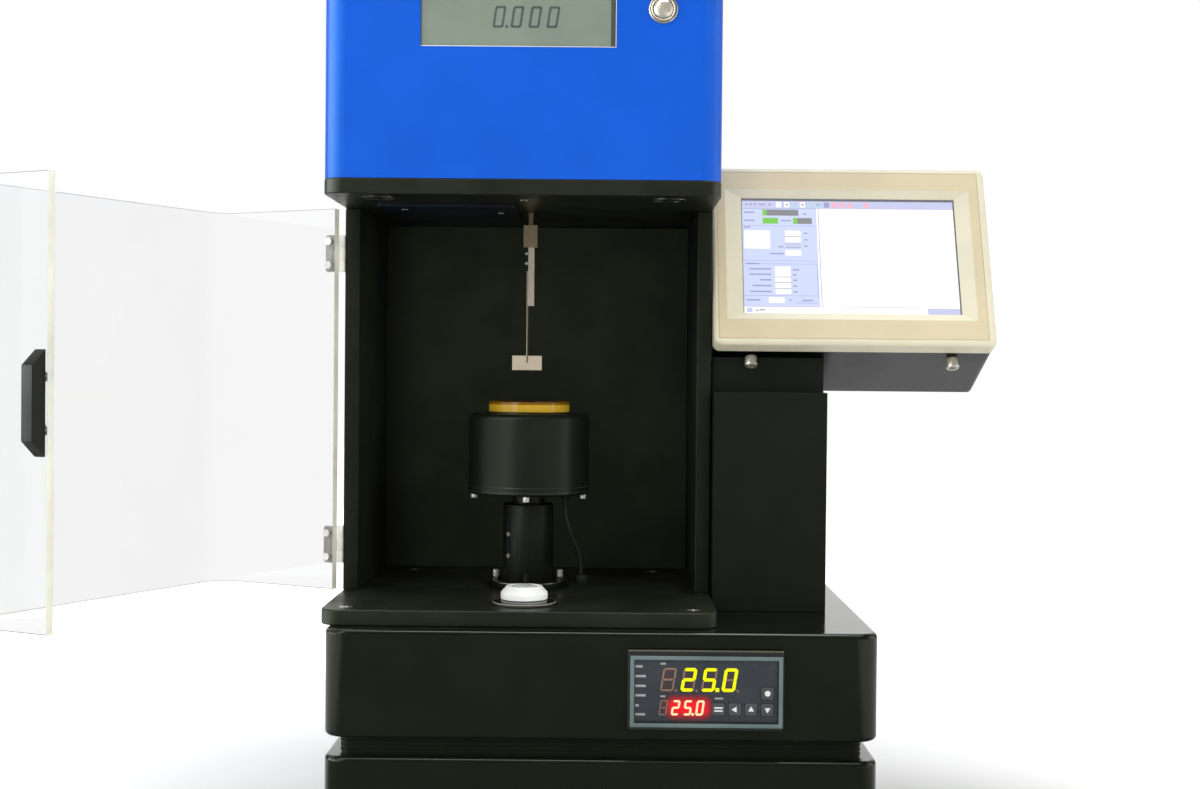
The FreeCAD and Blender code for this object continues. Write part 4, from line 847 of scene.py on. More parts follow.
    def finish(self, name: str, tones: Sequence[str], body: Body, slot: str,
               replaces: Sequence[str] = ()) -> bpy.types.Object:
        """Makes the object, gives it its finishes and lets it ride.

        Args:
            name: The piece's name.
            tones: Its finishes, in the order of the faces' tones.
            body: The body that it moves with.
            slot: A material slot's name; not used.
            replaces: The frame nodes that it stands for.

        Returns:
            The finished object.
        """
        self.mesh.transform(TO_FRAME)
        for face in self.mesh.faces:
            face.smooth = True
        for edge in self.mesh.edges:
            edge.smooth = edge.calc_face_angle(0.0) < CREASE
        data = bpy.data.meshes.new(name)
        self.mesh.to_mesh(data)
        self.mesh.free()
        for tone in tones:
            data.materials.append(PAINT[tone])
        piece = bpy.data.objects.new(name, data)
        bpy.context.scene.collection.objects.link(piece)
        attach(piece, body.value)
        if replaces:
            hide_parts(*replaces)
        LOG.info("%s: %d faces on %s", name, len(data.polygons), body.value)
        return piece


def soften(part: bmesh.types.BMesh, edges: Iterable[bmesh.types.BMEdge], radius: float, segments: int) -> None:
    """Rounds some edges of a part.

    Args:
        part: The part.
        edges: The edges to round.
        radius: Their radius.
        segments: Faces across each rounded edge.
    """
    bmesh.ops.bevel(part, geom=list(edges), offset=radius, offset_type="OFFSET", segments=segments, profile=0.5,
                    affect="EDGES", clamp_overlap=True, material=-1)


def dress(node: str, finish: str, edge: float = 0.0) -> None:
    """Gives a frame node its finish and softens its hard edges.

    Args:
        node: The frame node's name.
        finish: The finish from the paintbox.
        edge: The radius of its edges, in millimetres.
    """
    piece = NODES[node]
    if piece.material_slots:
        piece.material_slots[0].material = PAINT[finish]
    else:
        piece.data.materials.append(PAINT[finish])
    if edge:
        weld = piece.modifiers.new("merged corners", "WELD")
        weld.merge_threshold = TINY * MM
        flat = piece.modifiers.new("joined flats", "DECIMATE")
        flat.decimate_type = "DISSOLVE"
        flat.angle_limit = FLAT
        round_off = piece.modifiers.new("softened edges", "BEVEL")
        round_off.width = edge * MM
        round_off.segments = 2
        round_off.limit_method = "ANGLE"
        round_off.angle_limit = SHARP
        round_off.harden_normals = True


class Digits:
    """Seven-bar digits on a readout."""

    bars: dict[str, str] = {"0": "abcdef", "2": "abged", "5": "afgcd", "8": "abcdefg"}

    def __init__(self, piece: Workpiece, width: float, height: float, stroke: float, slant: float, y: Span) -> None:
        """Sets the digits' form.

        Args:
            piece: The piece that they are added to.
            width: A digit's width.
            height: Its height.
            stroke: The width of its bars.
            slant: How far it leans for each millimetre of height.
            y: The front and rear of its bars.
        """
        self.piece, self.width, self.height = piece, width, height
        self.stroke, self.slant, self.y = stroke, slant, y

    def draw(self, text: str, x: float, z: float, tone: int = 0) -> None:
        """Draws one digit.

        Args:
            text: The digit, or a point.
            x: Its left side at its foot.
            z: Its foot.
            tone: The material of its bars.
        """
        if text == ".":
            size = self.stroke * 1.1
            self.piece.block((x, x + size), self.y, (z, z + size), size * 0.2, tone)
            return
        half, gap = self.stroke / 2, self.stroke * 0.1
        left, right = x + half, x + self.width - half
        low, mid, high = z + half, z + self.height / 2, z + self.height - half
        flat, tall = self.width - self.stroke - gap, self.height / 2 - half - gap
        places = {
            "a": ((x + self.width / 2, high), flat, False), "g": ((x + self.width / 2, mid), flat, False),
            "d": ((x + self.width / 2, low), flat, False), "b": ((right, (mid + high) / 2), tall, True),
            "c": ((right, (low + mid) / 2), tall, True), "f": ((left, (mid + high) / 2), tall, True),
            "e": ((left, (low + mid) / 2), tall, True),
        }
        for key, (centre, length, upright) in places.items():
            if key in self.bars[text]:
                self.piece.bar(centre, length + half, self.stroke * 0.94, self.y, upright, tone, self.slant, z)


# Sub-assemblies


@dataclass
class Base:
    """The two-storey base with its neck, feet and rear fittings."""

    rib_height: float = 1.3
    rib_reach: float = 0.7
    rib_pitch: float = 2.9
    rib_corner: float = 7.0
    disc_height: float = 8.0
    knurls: int = 40
    knurl_circle: float = 17.9
    nut_radius: float = 8.0
    nut_height: float = 3.4
    thread_turns: int = 6
    thread_length: float = 7.2
    louvre_x: tuple[float, ...] = (-70.0, -10.0)
    louvre_rows: int = 5
    louvre_foot: float = 16.0
    louvre_pitch: float = 8.0
    louvre_size: Span = (42.0, 3.0)
    plate_x: Span = (95.0, 155.0)
    plate_z: Span = (22.0, 50.0)
    rivet_inset: float = 3.5
    screw_x: Span = (-100.0, 204.0)
    screw_inset: float = 12.0
    screw_head: Span = (2.8, 1.6)

    def build(self) -> None:
        """Dresses the base and adds its detail."""
        for node in ("lower_housing", "upper_housing", "base_floor"):
            dress(node, "base_gloss")
        dress("neck_frame", "neck_black")
        for node, finish in {"power_supply": "zinc", "control_board": "board_green", "lift_motor": "motor_black",
                             "lead_screw": "steel", "guide_rods": "steel", "lift_carriage": "brass",
                             "power_entry": "inlet_black", "power_rocker": "inlet_black"}.items():
            dress(node, finish)
        self._neck_ribs()
        for foot in ("foot_front_left", "foot_front_right", "foot_rear_left", "foot_rear_right"):
            self._foot(foot)
        self._rear()

    def _neck_ribs(self) -> None:
        """Fine level ribs round the neck between the storeys."""
        piece = Workpiece()
        x, y, z = (span("neck_frame", axis) for axis in range(3))
        level = z[0] + self.rib_pitch / 2
        while level < z[1] - self.rib_height / 2:
            part = bmesh.new()
            size = Vector((x[1] - x[0], y[1] - y[0], self.rib_height))
            place = Vector((sum(x) / 2, sum(y) / 2, level + self.rib_height / 2))
            bmesh.ops.create_cube(part, size=1.0, matrix=Matrix.Translation(place) @ Matrix.Diagonal((*size, 1.0)))
            caps = [face for face in part.faces if abs(face.normal.z) > 0.9]
            bmesh.ops.delete(part, geom=caps, context="FACES_ONLY")
            posts = [e for e in part.edges if abs(e.verts[0].co.z - e.verts[1].co.z) > TINY]
            soften(part, posts, self.rib_corner, 8)
            bmesh.ops.recalc_face_normals(part, faces=part.faces)
            bmesh.ops.solidify(part, geom=list(part.faces), thickness=-self.rib_reach)
            bmesh.ops.recalc_face_normals(part, faces=part.faces)
            piece.take(part)
            level += self.rib_pitch
        piece.finish("neck_ribs", ["neck_black"], Body.ROOT, "base_gloss")

    def _foot(self, node: str) -> None:
        """A foot's threaded stud, its nut and the knurl of its disc.

        Args:
            node: The foot's frame node.
        """
        dress(node, "rubber")
        x, y = middle(node, 0), middle(node, 1)
        low, high = span(node, 2)
        disc = low + self.disc_height
        piece = Workpiece()
        profile = [(0.0, disc - 0.2)]
        step = self.thread_length / self.thread_turns
        for index in range(self.thread_turns):
            profile += [(4.05, disc - 0.2 + index * step), (4.5, disc - 0.2 + (index + 0.5) * step)]
        profile += [(4.05, disc - 0.2 + self.thread_length), (0.0, disc - 0.2 + self.thread_length)]
        piece.turned(profile, (x, y, 0), steps=32)
        piece.rod((x, y, disc), (x, y, disc + self.nut_height), self.nut_radius, sides=6, edge=0.5)
        for index in range(self.knurls):
            angle = 2 * math.pi * index / self.knurls
            out = Vector((math.cos(angle), math.sin(angle), 0)) * self.knurl_circle
            foot = Vector((x, y, low + 1.0)) + out
            piece.rod(tuple(foot), tuple(foot + Vector((0, 0, 4.6))), 0.6, sides=6, tone=1)
        piece.finish(node.replace("foot", "stud"), ["steel", "rubber"], Body(node + "_body"), "rubber")

    def _rear(self) -> None:
        """Louvres, a bare plate and screws on the rear of the base."""
        piece = Workpiece()
        rear = span("upper_housing", 1)[1]
        low = span("upper_housing", 2)[0]
        wide, tall = self.louvre_size
        for x in self.louvre_x:
            for row in range(self.louvre_rows):
                z = low + self.louvre_foot + row * self.louvre_pitch
                piece.block((x, x + wide), (rear - 0.6, rear + 1.4), (z, z + tall), 0.9, segments=3)
        plate_z = (low + self.plate_z[0], low + self.plate_z[1])
        piece.block(self.plate_x, (rear - 0.2, rear + 0.5), plate_z, 0.2, tone=1)
        for x in (self.plate_x[0] + self.rivet_inset, self.plate_x[1] - self.rivet_inset):
            for z in (plate_z[0] + self.rivet_inset, plate_z[1] - self.rivet_inset):
                piece.turned([(0, 1.3), (1.2, 1.1), (1.6, 0.6), (1.6, 0.0), (0, 0)], (x, rear, z), (0, 1, 0), 16, 1)
        rear = span("lower_housing", 1)[1]
        low, high = span("lower_housing", 2)
        for x in self.screw_x:
            for z in (low + self.screw_inset, high - self.screw_inset):
                cap_screw(piece, (x, rear, z), (0, 1, 0), *self.screw_head, 1)
        piece.finish("rear_fittings", ["base_gloss", "steel"], Body.ROOT, "base_gloss")


def cap_screw(piece: Workpiece, base: Point, line: Point, radius: float, height: float, tone: int = 0,
              socket: float = 0.5) -> None:
    """Adds a round screw head with a six-sided socket.

    Args:
        piece: The piece that it is added to.
        base: The middle of the face that it lies on.
        line: The way that it points.
        radius: The radius of its head.
        height: The height of its head.
        tone: The piece's material for it.
        socket: The socket's radius as a share of the head's.
    """
    part = bmesh.new()
    bmesh.ops.create_circle(part, cap_ends=True, segments=24, radius=radius)
    lifted = bmesh.ops.extrude_face_region(part, geom=list(part.faces))["geom"]
    bmesh.ops.translate(part, verts=[v for v in lifted if isinstance(v, bmesh.types.BMVert)], vec=(0, 0, height))
    top = [f for f in lifted if isinstance(f, bmesh.types.BMFace)]
    rim = [e for e in top[0].edges]
    soften(part, rim, min(radius, height) * 0.22, 2)
    top = [f for f in part.faces if f.normal.z > 0.95 and f.calc_center_median().z > height * 0.9]
    top = max(top, key=lambda face: face.calc_area())
    bmesh.ops.inset_region(part, faces=[top], thickness=radius * (0.78 - socket), use_even_offset=True)
    bmesh.ops.inset_region(part, faces=[top], thickness=0.02 * radius, depth=-height * 0.55, use_even_offset=True)
    bmesh.ops.recalc_face_normals(part, faces=part.faces)
    aim = UP.rotation_difference(Vector(line)).to_matrix().to_4x4()
    part.transform(Matrix.Translation(Vector(base)) @ aim)
    piece.take(part, tone)


@dataclass
class Controller:
    """The temperature controller's trim, marks, digits and keys."""

    trim_x: Span = (70.0, 163.7)
    trim_z: Span = (-67.4, -23.5)
    trim_width: float = 2.5
    upper_form: tuple[float, ...] = (8.6, 14.7, 2.15, 0.16)
    upper_ghost: tuple[float, ...] = (8.3, 14.4, 1.2, 0.16)
    lower_form: tuple[float, ...] = (5.0, 9.5, 1.4, 0.14)
    lower_ghost: tuple[float, ...] = (4.8, 9.4, 0.8, 0.14)
    upper_left: float = 88.0
    upper_foot: float = -45.6
    upper_pitch: float = 12.6
    lower_left: float = 87.5
    lower_foot: float = -60.3
    lower_pitch: float = 7.45
    glow_x: Span = (88.5, 124.5)
    glow_z: Span = (-64.6, -46.6)
    mark_left: float = 73.2
    mark_rows: tuple[float, ...] = (-30.3, -36.3, -42.3, -48.1, -54.3, -59.8)
    mark_lengths: tuple[float, ...] = (4.4, 6.4, 6.4, 6.4, 2.2, 6.2)
    short_marks: tuple[Point, ...] = ((88.6, -28.5, 3.2), (88.6, -48.6, 3.2), (122.0, -49.6, 5.2))
    arrow_radius: float = 2.1
    dot_radius: float = 1.75

    def build(self) -> None:
        """Dresses the controller and adds its detail."""
        dress("controller_case", "controller_grey", 0.35)
        dress("controller_window", "controller_face")
        front = span("controller_case", 1)[0]
        face = span("controller_window", 1)[0]
        piece = Workpiece()
        x, z, width = self.trim_x, self.trim_z, self.trim_width
        piece.surround(x, z, (x[0] + width, x[1] - width), (z[0] + width, z[1] - width),
                       (front - 0.35, front + 1.2), 0.25)
        high = span("controller_case", 2)[1]
        left, right = span("controller_case", 0)
        # A pale lip along the case's top edge: a painted highlight line.
        piece.rod((left + 0.4, front + 1.3, high - 0.1), (right - 0.4, front + 1.3, high - 0.1), 1.05, sides=20,
                  edge=0.3, tone=1)
        piece.finish("controller_trim", ["controller_trim", "controller_lip_highlight"], Body.ROOT, "controller_grey")
        piece = Workpiece()
        proud = (face - 0.06, face + 0.02)
        upper = Digits(piece, *self.upper_form, (proud[0] - 0.02, proud[1]))
        ghost = Digits(piece, *self.upper_ghost, proud)
        for index, text in enumerate("8250"):
            x = self.upper_left + index * self.upper_pitch
            ghost.draw("8", x + 0.2, self.upper_foot + 0.15, 1)
            piece.block((x + 1.5, x + 8.4), (proud[0] + 0.03, proud[1]), (self.upper_foot + 1, self.upper_foot + 13.6),
                        tone=3)
            ghost.draw(".", x + 9.6, self.upper_foot, 1)
            if index:
                upper.draw(text, x, self.upper_foot, 0)
            if text == "5":
                upper.draw(".", x + 9.2, self.upper_foot, 0)
        lower = Digits(piece, *self.lower_form, (proud[0] - 0.04, proud[1]))
        ghost = Digits(piece, *self.lower_ghost, proud)
        ghost.draw("8", self.lower_left, self.lower_foot, 1)
        for index, text in enumerate("250", 1):
            x = self.lower_left + index * self.lower_pitch
            lower.draw(text, x, self.lower_foot, 2)
            if text == "5":
                lower.draw(".", x + 5.4, self.lower_foot, 2)
        piece.finish("controller_digits", ["digit_yellow", "ghost_brown", "digit_red", "ghost_fill"], Body.ROOT,
                     "controller_face")
        piece = Workpiece()
        piece.block(self.glow_x, (proud[0] + 0.02, proud[1]), self.glow_z)
        piece.finish("controller_glow", ["red_glow"], Body.ROOT, "controller_face")
        piece = Workpiece()
        for z, length in zip(self.mark_rows, self.mark_lengths):
            piece.block((self.mark_left, self.mark_left + length), proud, (z - 0.75, z + 0.75), 0.02)
        for x, z, length in self.short_marks:
            piece.block((x, x + length), proud, (z - 0.55, z + 0.55), 0.02)
        piece.finish("controller_marks", ["mark_grey"], Body.ROOT, "controller_face")
        self._keys()

    def _keys(self) -> None:
        """The signs on the five keys."""
        turns = {"key_left": -90.0, "key_up": 180.0, "key_down": 0.0}
        for key in ("key_mode", "key_left", "key_up", "key_down", "key_round"):
            dress(key, "key_rubber")
            x, z = middle(key, 0), middle(key, 2)
            front = span(key, 1)[0]
            piece = Workpiece()
            if key == "key_mode":
                for step in (-0.9, 0.9):
                    line = (z + step - 0.45, z + step + 0.45)
                    piece.block((x - 2.6, x + 2.6), (front - 0.05, front + 0.1), line, 0.02)
            else:
                sides = 24 if key == "key_round" else 3
                turn = turns.get(key, 0.0)
                size = self.dot_radius if key == "key_round" else self.arrow_radius
                place = Matrix.Translation((x, front - 0.05, z)) @ Matrix.Rotation(-math.radians(turn), 4, "Y")
                piece.rod((0, 0, 0), (0, 0.15, 0), size, sides=sides)
                piece.move(place)
            piece.finish(key + "_sign", ["mark_white"], Body(key + "_body"), "key_rubber")


@dataclass
class Chamber:
    """The chamber's plates, panels and small fittings."""

    panel_edge: float = 60.0
    cover_screws: tuple[Span, ...] = ((0.17, 0.24), (0.87, 0.45))
    plug_reach: float = 92.5
    plug_depth: float = 25.0
    notch_reach: float = 9.9

    def build(self) -> None:
        """Dresses the chamber and adds its detail."""
        self._panel("side_panel_left", 1)
        self._panel("side_panel_right", -1)
        # The back wall's black is a lighter copy with painted shade at its left end.
        dress("back_wall", "wall_black_lit_and_shaded", 0.3)
        dress("base_plate", "plate_black")
        dress("head_plate", "head_plate_black")
        dress("service_cover", "cover_navy", 0.3)
        dress("base_plate_screws", "bright_steel", 0.15)
        self._under_head()
        self._level()

    def _panel(self, node: str, inward: int) -> None:
        """A side panel, its inner face apart from the rest.

        Args:
            node: The frame node's name.
            inward: 1 if its inner face looks right, -1 if it looks left.
        """
        piece = Workpiece()
        piece.node(node)
        # The inner face takes a lighter black with painted light that grows towards the rear.
        for face in piece.mesh.faces:
            face.material_index = 1 if face.normal.x * inward > 0.9 else 0
        hard = [e for e in piece.mesh.edges if e.calc_face_angle(0.0) > SHARP and e.calc_length() > self.panel_edge]
        soften(piece.mesh, hard, 0.3, 2)
        piece.finish(node + "_painted", ["chamber_black", "inner_black_painted_light"], Body.ROOT, "chamber_black", [node])

    def _under_head(self) -> None:
        """Screws of the service cover and the plugs in the head plate's underside."""
        piece = Workpiece()
        x, y, z = (span("service_cover", axis) for axis in range(3))
        for across, along in self.cover_screws:
            place = (x[0] + across * (x[1] - x[0]), y[0] + along * (y[1] - y[0]), z[0])
            piece.turned([(0, 0), (2.5, 0), (2.4, 0.35), (1.6, 0.8), (0, 0.95)], place, (0, 0, -1), 32, 2)
        under = span("head_plate", 2)[0]
        for side in (-1, 1):
            place = (side * self.plug_reach, self.plug_depth, under + 3.0)
            piece.turned([(0, 0), (9.9, 0), (9.9, 1.9), (9.5, 2.3), (8.6, 2.3), (8.2, 1.6), (0, 1.6)], place,
                         (0, 0, -1), 48, 1)
            cap_screw(piece, (place[0], place[1], under + 1.5), (0, 0, -1), 3.2, 1.2, 1)
            piece.turned([(10.2, 0.0), (10.7, 0.0), (10.7, 0.25), (10.2, 0.25), (10.2, 0.0)],
                         (place[0], place[1], under), (0, 0, -1), 48, 2)
        piece.turned([(0, 0), (2.3, 0), (2.3, 2.9), (3.1, 3.1), (2.8, 3.7), (1.4, 4.0), (0, 4.0)],
                     (0, 31.5, under + 3.0), (0, 0, -1), 32, 2)
        piece.finish("head_plate_fittings", ["bright_steel", "black_steel", "worn_rim"], Body.ROOT, "chamber_black")

    def _level(self) -> None:
        """The round level: its body with painted shade for its notches, liquid with its bubble, the ring below the
        dome, and painted light and shade on its clear disc.
        """
        dress("level_lens", "clear_plastic")
        x, y = middle("level_body", 0), middle("level_body", 1)
        low, high = span("level_body", 2)
        piece = Workpiece()
        tall = high - low
        # At the foot, a thin grey band is a painted sheen, and the black band in the groove is the dark plate painted
        # on as though seen through a clear foot.
        piece.turned([(0.0, 0.0), (14.9, 0.0), (14.9, 0.7), (14.3, 0.9), (14.3, 1.5), (15.1, 1.9), (15.1, 5.7),
                      (14.9, 6.1), (12.1, tall - 0.1), (11.8, tall), (9.6, tall), (9.6, 2.0), (0.0, 2.0)],
                     (x, y, low), steps=96, tones=lambda at: 1 if 0.1 < at.z < 0.8 else 2 if 0.8 < at.z < 1.6 else 0)
        piece.finish("level_body_turned", ["white_plastic", "mark_grey", "plate_black"], Body.ROOT, "white_plastic",
                     ["level_body"])
        piece = Workpiece()
        piece.turned([(11.8, 0.0), (11.8, 0.45), (11.4, 0.8), (9.9, 0.8), (9.6, 0.4), (9.6, 0.0), (11.8, 0.0)],
                     (x, y, high), steps=64)
        # Grey blocks on the rim's top stand in for two notches: painted shade, with no notch cut.
        for side in (-1, 1):
            notch = x + side * self.notch_reach
            piece.block((notch - 0.8, notch + 0.8), (y - 5.4, y - 3.9), (high - 1.2, high + 0.1), 0.1, 1)
        piece.turned([(15.1, 0.0), (15.25, 0.1), (15.25, 0.4), (15.1, 0.5), (15.1, 0.0)], (x, y, low + 4.2), steps=64)
        # A pale ring at the clear disc's edge: a painted highlight.
        piece.turned([(19.9, 0.0), (20.3, -0.05), (20.6, -0.5), (20.3, -0.7), (19.9, 0.0)], (x, y, low + 0.05),
                     steps=64, tone=2)
        # A dark sheet inside the clear disc: painted shade that keeps the disc dark.
        piece.rod((x, y, low - 1.97), (x, y, low - 1.6), 20.1, sides=64, tone=3)
        piece.finish("level_rim", ["white_plastic", "mark_grey", "disc_edge_highlight", "plate_black"], Body.ROOT,
                     "white_plastic")
        piece = Workpiece()
        piece.turned([(4.6, 0.0), (5.1, 0.0), (5.1, 0.15), (4.6, 0.15), (4.6, 0.0)], (x, y, low + 2.05), steps=48)
        piece.turned([(0.0, 0.0), (2.6, 0.1), (3.4, 0.8), (2.6, 1.5), (0.0, 1.6)], (x + 0.8, y - 0.6, high - 0.9),
                     steps=32, tone=1)
        piece.finish("level_bubble", ["mark_grey", "clear_plastic"], Body.ROOT, "clear_plastic")


@dataclass
class Column:
    """The column, its flange, nuts and the heated jacket with its dish."""

    lead_points: tuple[Point, ...] = ((25.0, 140.0, 61.0), (25.0, 140.0, 48.6), (29.6, 145.2, 33.8),
                                      (36.5, 151.0, 18.4), (36.5, 151.0, 6.0))
    lead_diameter: float = 3.0
    lead_length: float = 58.5
    rim_height: float = 2.2
    set_screws: float = 22.0
    front_stud: float = 18.0
    stud_circle: float = 22.3
    nut_radius: float = 2.95

    def build(self) -> None:
        """Dresses the column and the stage and adds their detail."""
        for node in ("column_sleeve", "column_flange"):
            dress(node, "black_steel", 0.3)
        dress("lift_column", "black_steel")
        self._fasteners()
        dress("jacket_cover", "jacket_black")
        dress("jacket_body", "jacket_black")
        dress("jacket_screws", "bright_steel", 0.25)
        dress("heater_plate", "zinc")
        dress("lead_gland", "lead_black", 0.3)
        self._nuts()
        self._jacket()
        self._dish()
        self._lead()

    def _fasteners(self) -> None:
        """The studs and set screws, the front stud blackened."""
        piece = Workpiece()
        piece.node("column_fasteners")
        front = middle("column_flange", 1) - self.front_stud
        for face in piece.mesh.faces:
            at = face.calc_center_median()
            face.material_index = 2 if at.z > self.set_screws else 1 if at.y < front else 0
        piece.finish("column_studs", ["bright_steel", "black_steel", "steel"], Body.ROOT, "bright_steel",
                     ["column_fasteners"])

    def _nuts(self) -> None:
        """Washers and six-sided nuts on the flange's studs."""
        piece = Workpiece()
        z = span("column_flange", 2)[1]
        middle_y = middle("column_flange", 1)
        for index in range(3):
            angle = math.pi / 2 * index
            x, y = self.stud_circle * math.cos(angle), middle_y + self.stud_circle * math.sin(angle)
            piece.turned([(2.2, 0.0), (3.5, 0.0), (3.5, 0.4), (2.2, 0.4), (2.2, 0.0)], (x, y, z), steps=32, tone=1)
            piece.rod((x, y, z + 0.4), (x, y, z + 2.3), self.nut_radius, sides=6, edge=0.3, turn=15.0 * index, tone=1)
            for ridge in range(4):
                level = z + 2.6 + ridge * 0.75
                piece.turned([(2.15, 0.0), (2.5, 0.2), (2.5, 0.35), (2.15, 0.55), (2.15, 0.0)], (x, y, level), steps=24)
        piece.turned([(26.4, 0.0), (26.9, -0.15), (27.05, -0.6), (26.6, -0.6), (26.4, 0.0)], (0, middle_y, z + 0.03),
                     steps=96, tone=1)
        piece.finish("flange_nuts", ["bright_steel", "worn_rim"], Body.ROOT, "bright_steel")

    def _jacket(self) -> None:
        """The seam between the jacket and its cover, and the clamp ring round the dish's recess."""
        piece = Workpiece()
        y = middle("jacket_body", 1)
        foot, top = span("jacket_body", 2)
        for level, reach in ((foot, 0.3), (foot - 3.4, 0.2)):
            bead = [(41.5, -0.35), (41.9 + reach * 0.7, -0.25), (41.9 + reach, 0.0), (41.9 + reach * 0.7, 0.25),
                    (41.5, 0.35), (41.5, -0.35)]
            piece.turned(bead, (0, y, level), steps=96, tone=1)
        piece.turned([(28.6, -0.4), (28.6, 0.95), (28.9, 1.25), (30.1, 1.25), (30.7, 0.8), (31.0, -0.4), (28.6, -0.4)],
                     (0, y, top), steps=96)
        piece.finish("jacket_rings", ["jacket_black", "jacket_edge"], Body.STAGE, "jacket_black")

    def _dish(self) -> None:
        """The dish of amber glass with its rounded rim."""
        piece = Workpiece()
        foot, rim = span("dish", 2)
        high = rim - foot
        profile = [(0.0, 0.0), (26.6, 0.0), (27.6, 0.4), (28.1, 1.4), (28.1, high - self.rim_height),
                   (28.1, high - 0.8), (28.0, high - 0.4), (27.6, high - 0.1), (27.1, high), (26.7, high - 0.2),
                   (26.35, high - 0.8), (26.3, high - self.rim_height), (26.3, 3.8), (25.8, 2.6), (24.6, 2.0),
                   (0.0, 2.0)]
        edge = high - self.rim_height
        piece.turned(profile, (0, middle("dish", 1), foot), steps=96, tones=lambda at: 1 if at.z > edge else 0)
        piece.finish("dish_glass", ["amber_glass", "dish_rim"], Body.DISH, "amber_glass", ["dish"])

    def _lead(self) -> None:
        """The heater lead from the jacket's underside to its gland."""
        line = bpy.data.curves.new("lead line", "CURVE")
        line.dimensions = "3D"
        spline = line.splines.new("NURBS")
        spline.points.add(len(self.lead_points) - 1)
        for point, place in zip(spline.points, self.lead_points):
            point.co = (*(TO_FRAME @ Vector(place)), 1.0)
        spline.order_u = 3
        spline.use_endpoint_u = True
        spline.resolution_u = 14
        carrier = bpy.data.objects.new("lead line", line)
        bpy.context.scene.collection.objects.link(carrier)
        bpy.context.view_layer.update()
        path = [tuple(vertex.co) for vertex in bpy.data.meshes.new_from_object(carrier).vertices]
        line.bevel_depth = self.lead_diameter / 2 * MM
        line.bevel_resolution = 6
        line.use_fill_caps = True
        bpy.context.view_layer.update()
        data = bpy.data.meshes.new_from_object(carrier.evaluated_get(bpy.context.evaluated_depsgraph_get()))
        bpy.data.objects.remove(carrier)
        lead = bpy.data.objects.new("heater_lead_tube", data)
        bpy.context.scene.collection.objects.link(lead)
        data.materials.clear()
        data.materials.append(PAINT["lead_black"])
        for polygon in data.polygons:
            polygon.use_smooth = True
        start, end = (TO_FRAME @ Vector(self.lead_points[i]) for i in (-1, 0))
        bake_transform(lead)
        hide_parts("heater_lead")
        LOG.info("heater_lead_tube: %d faces", len(data.polygons))


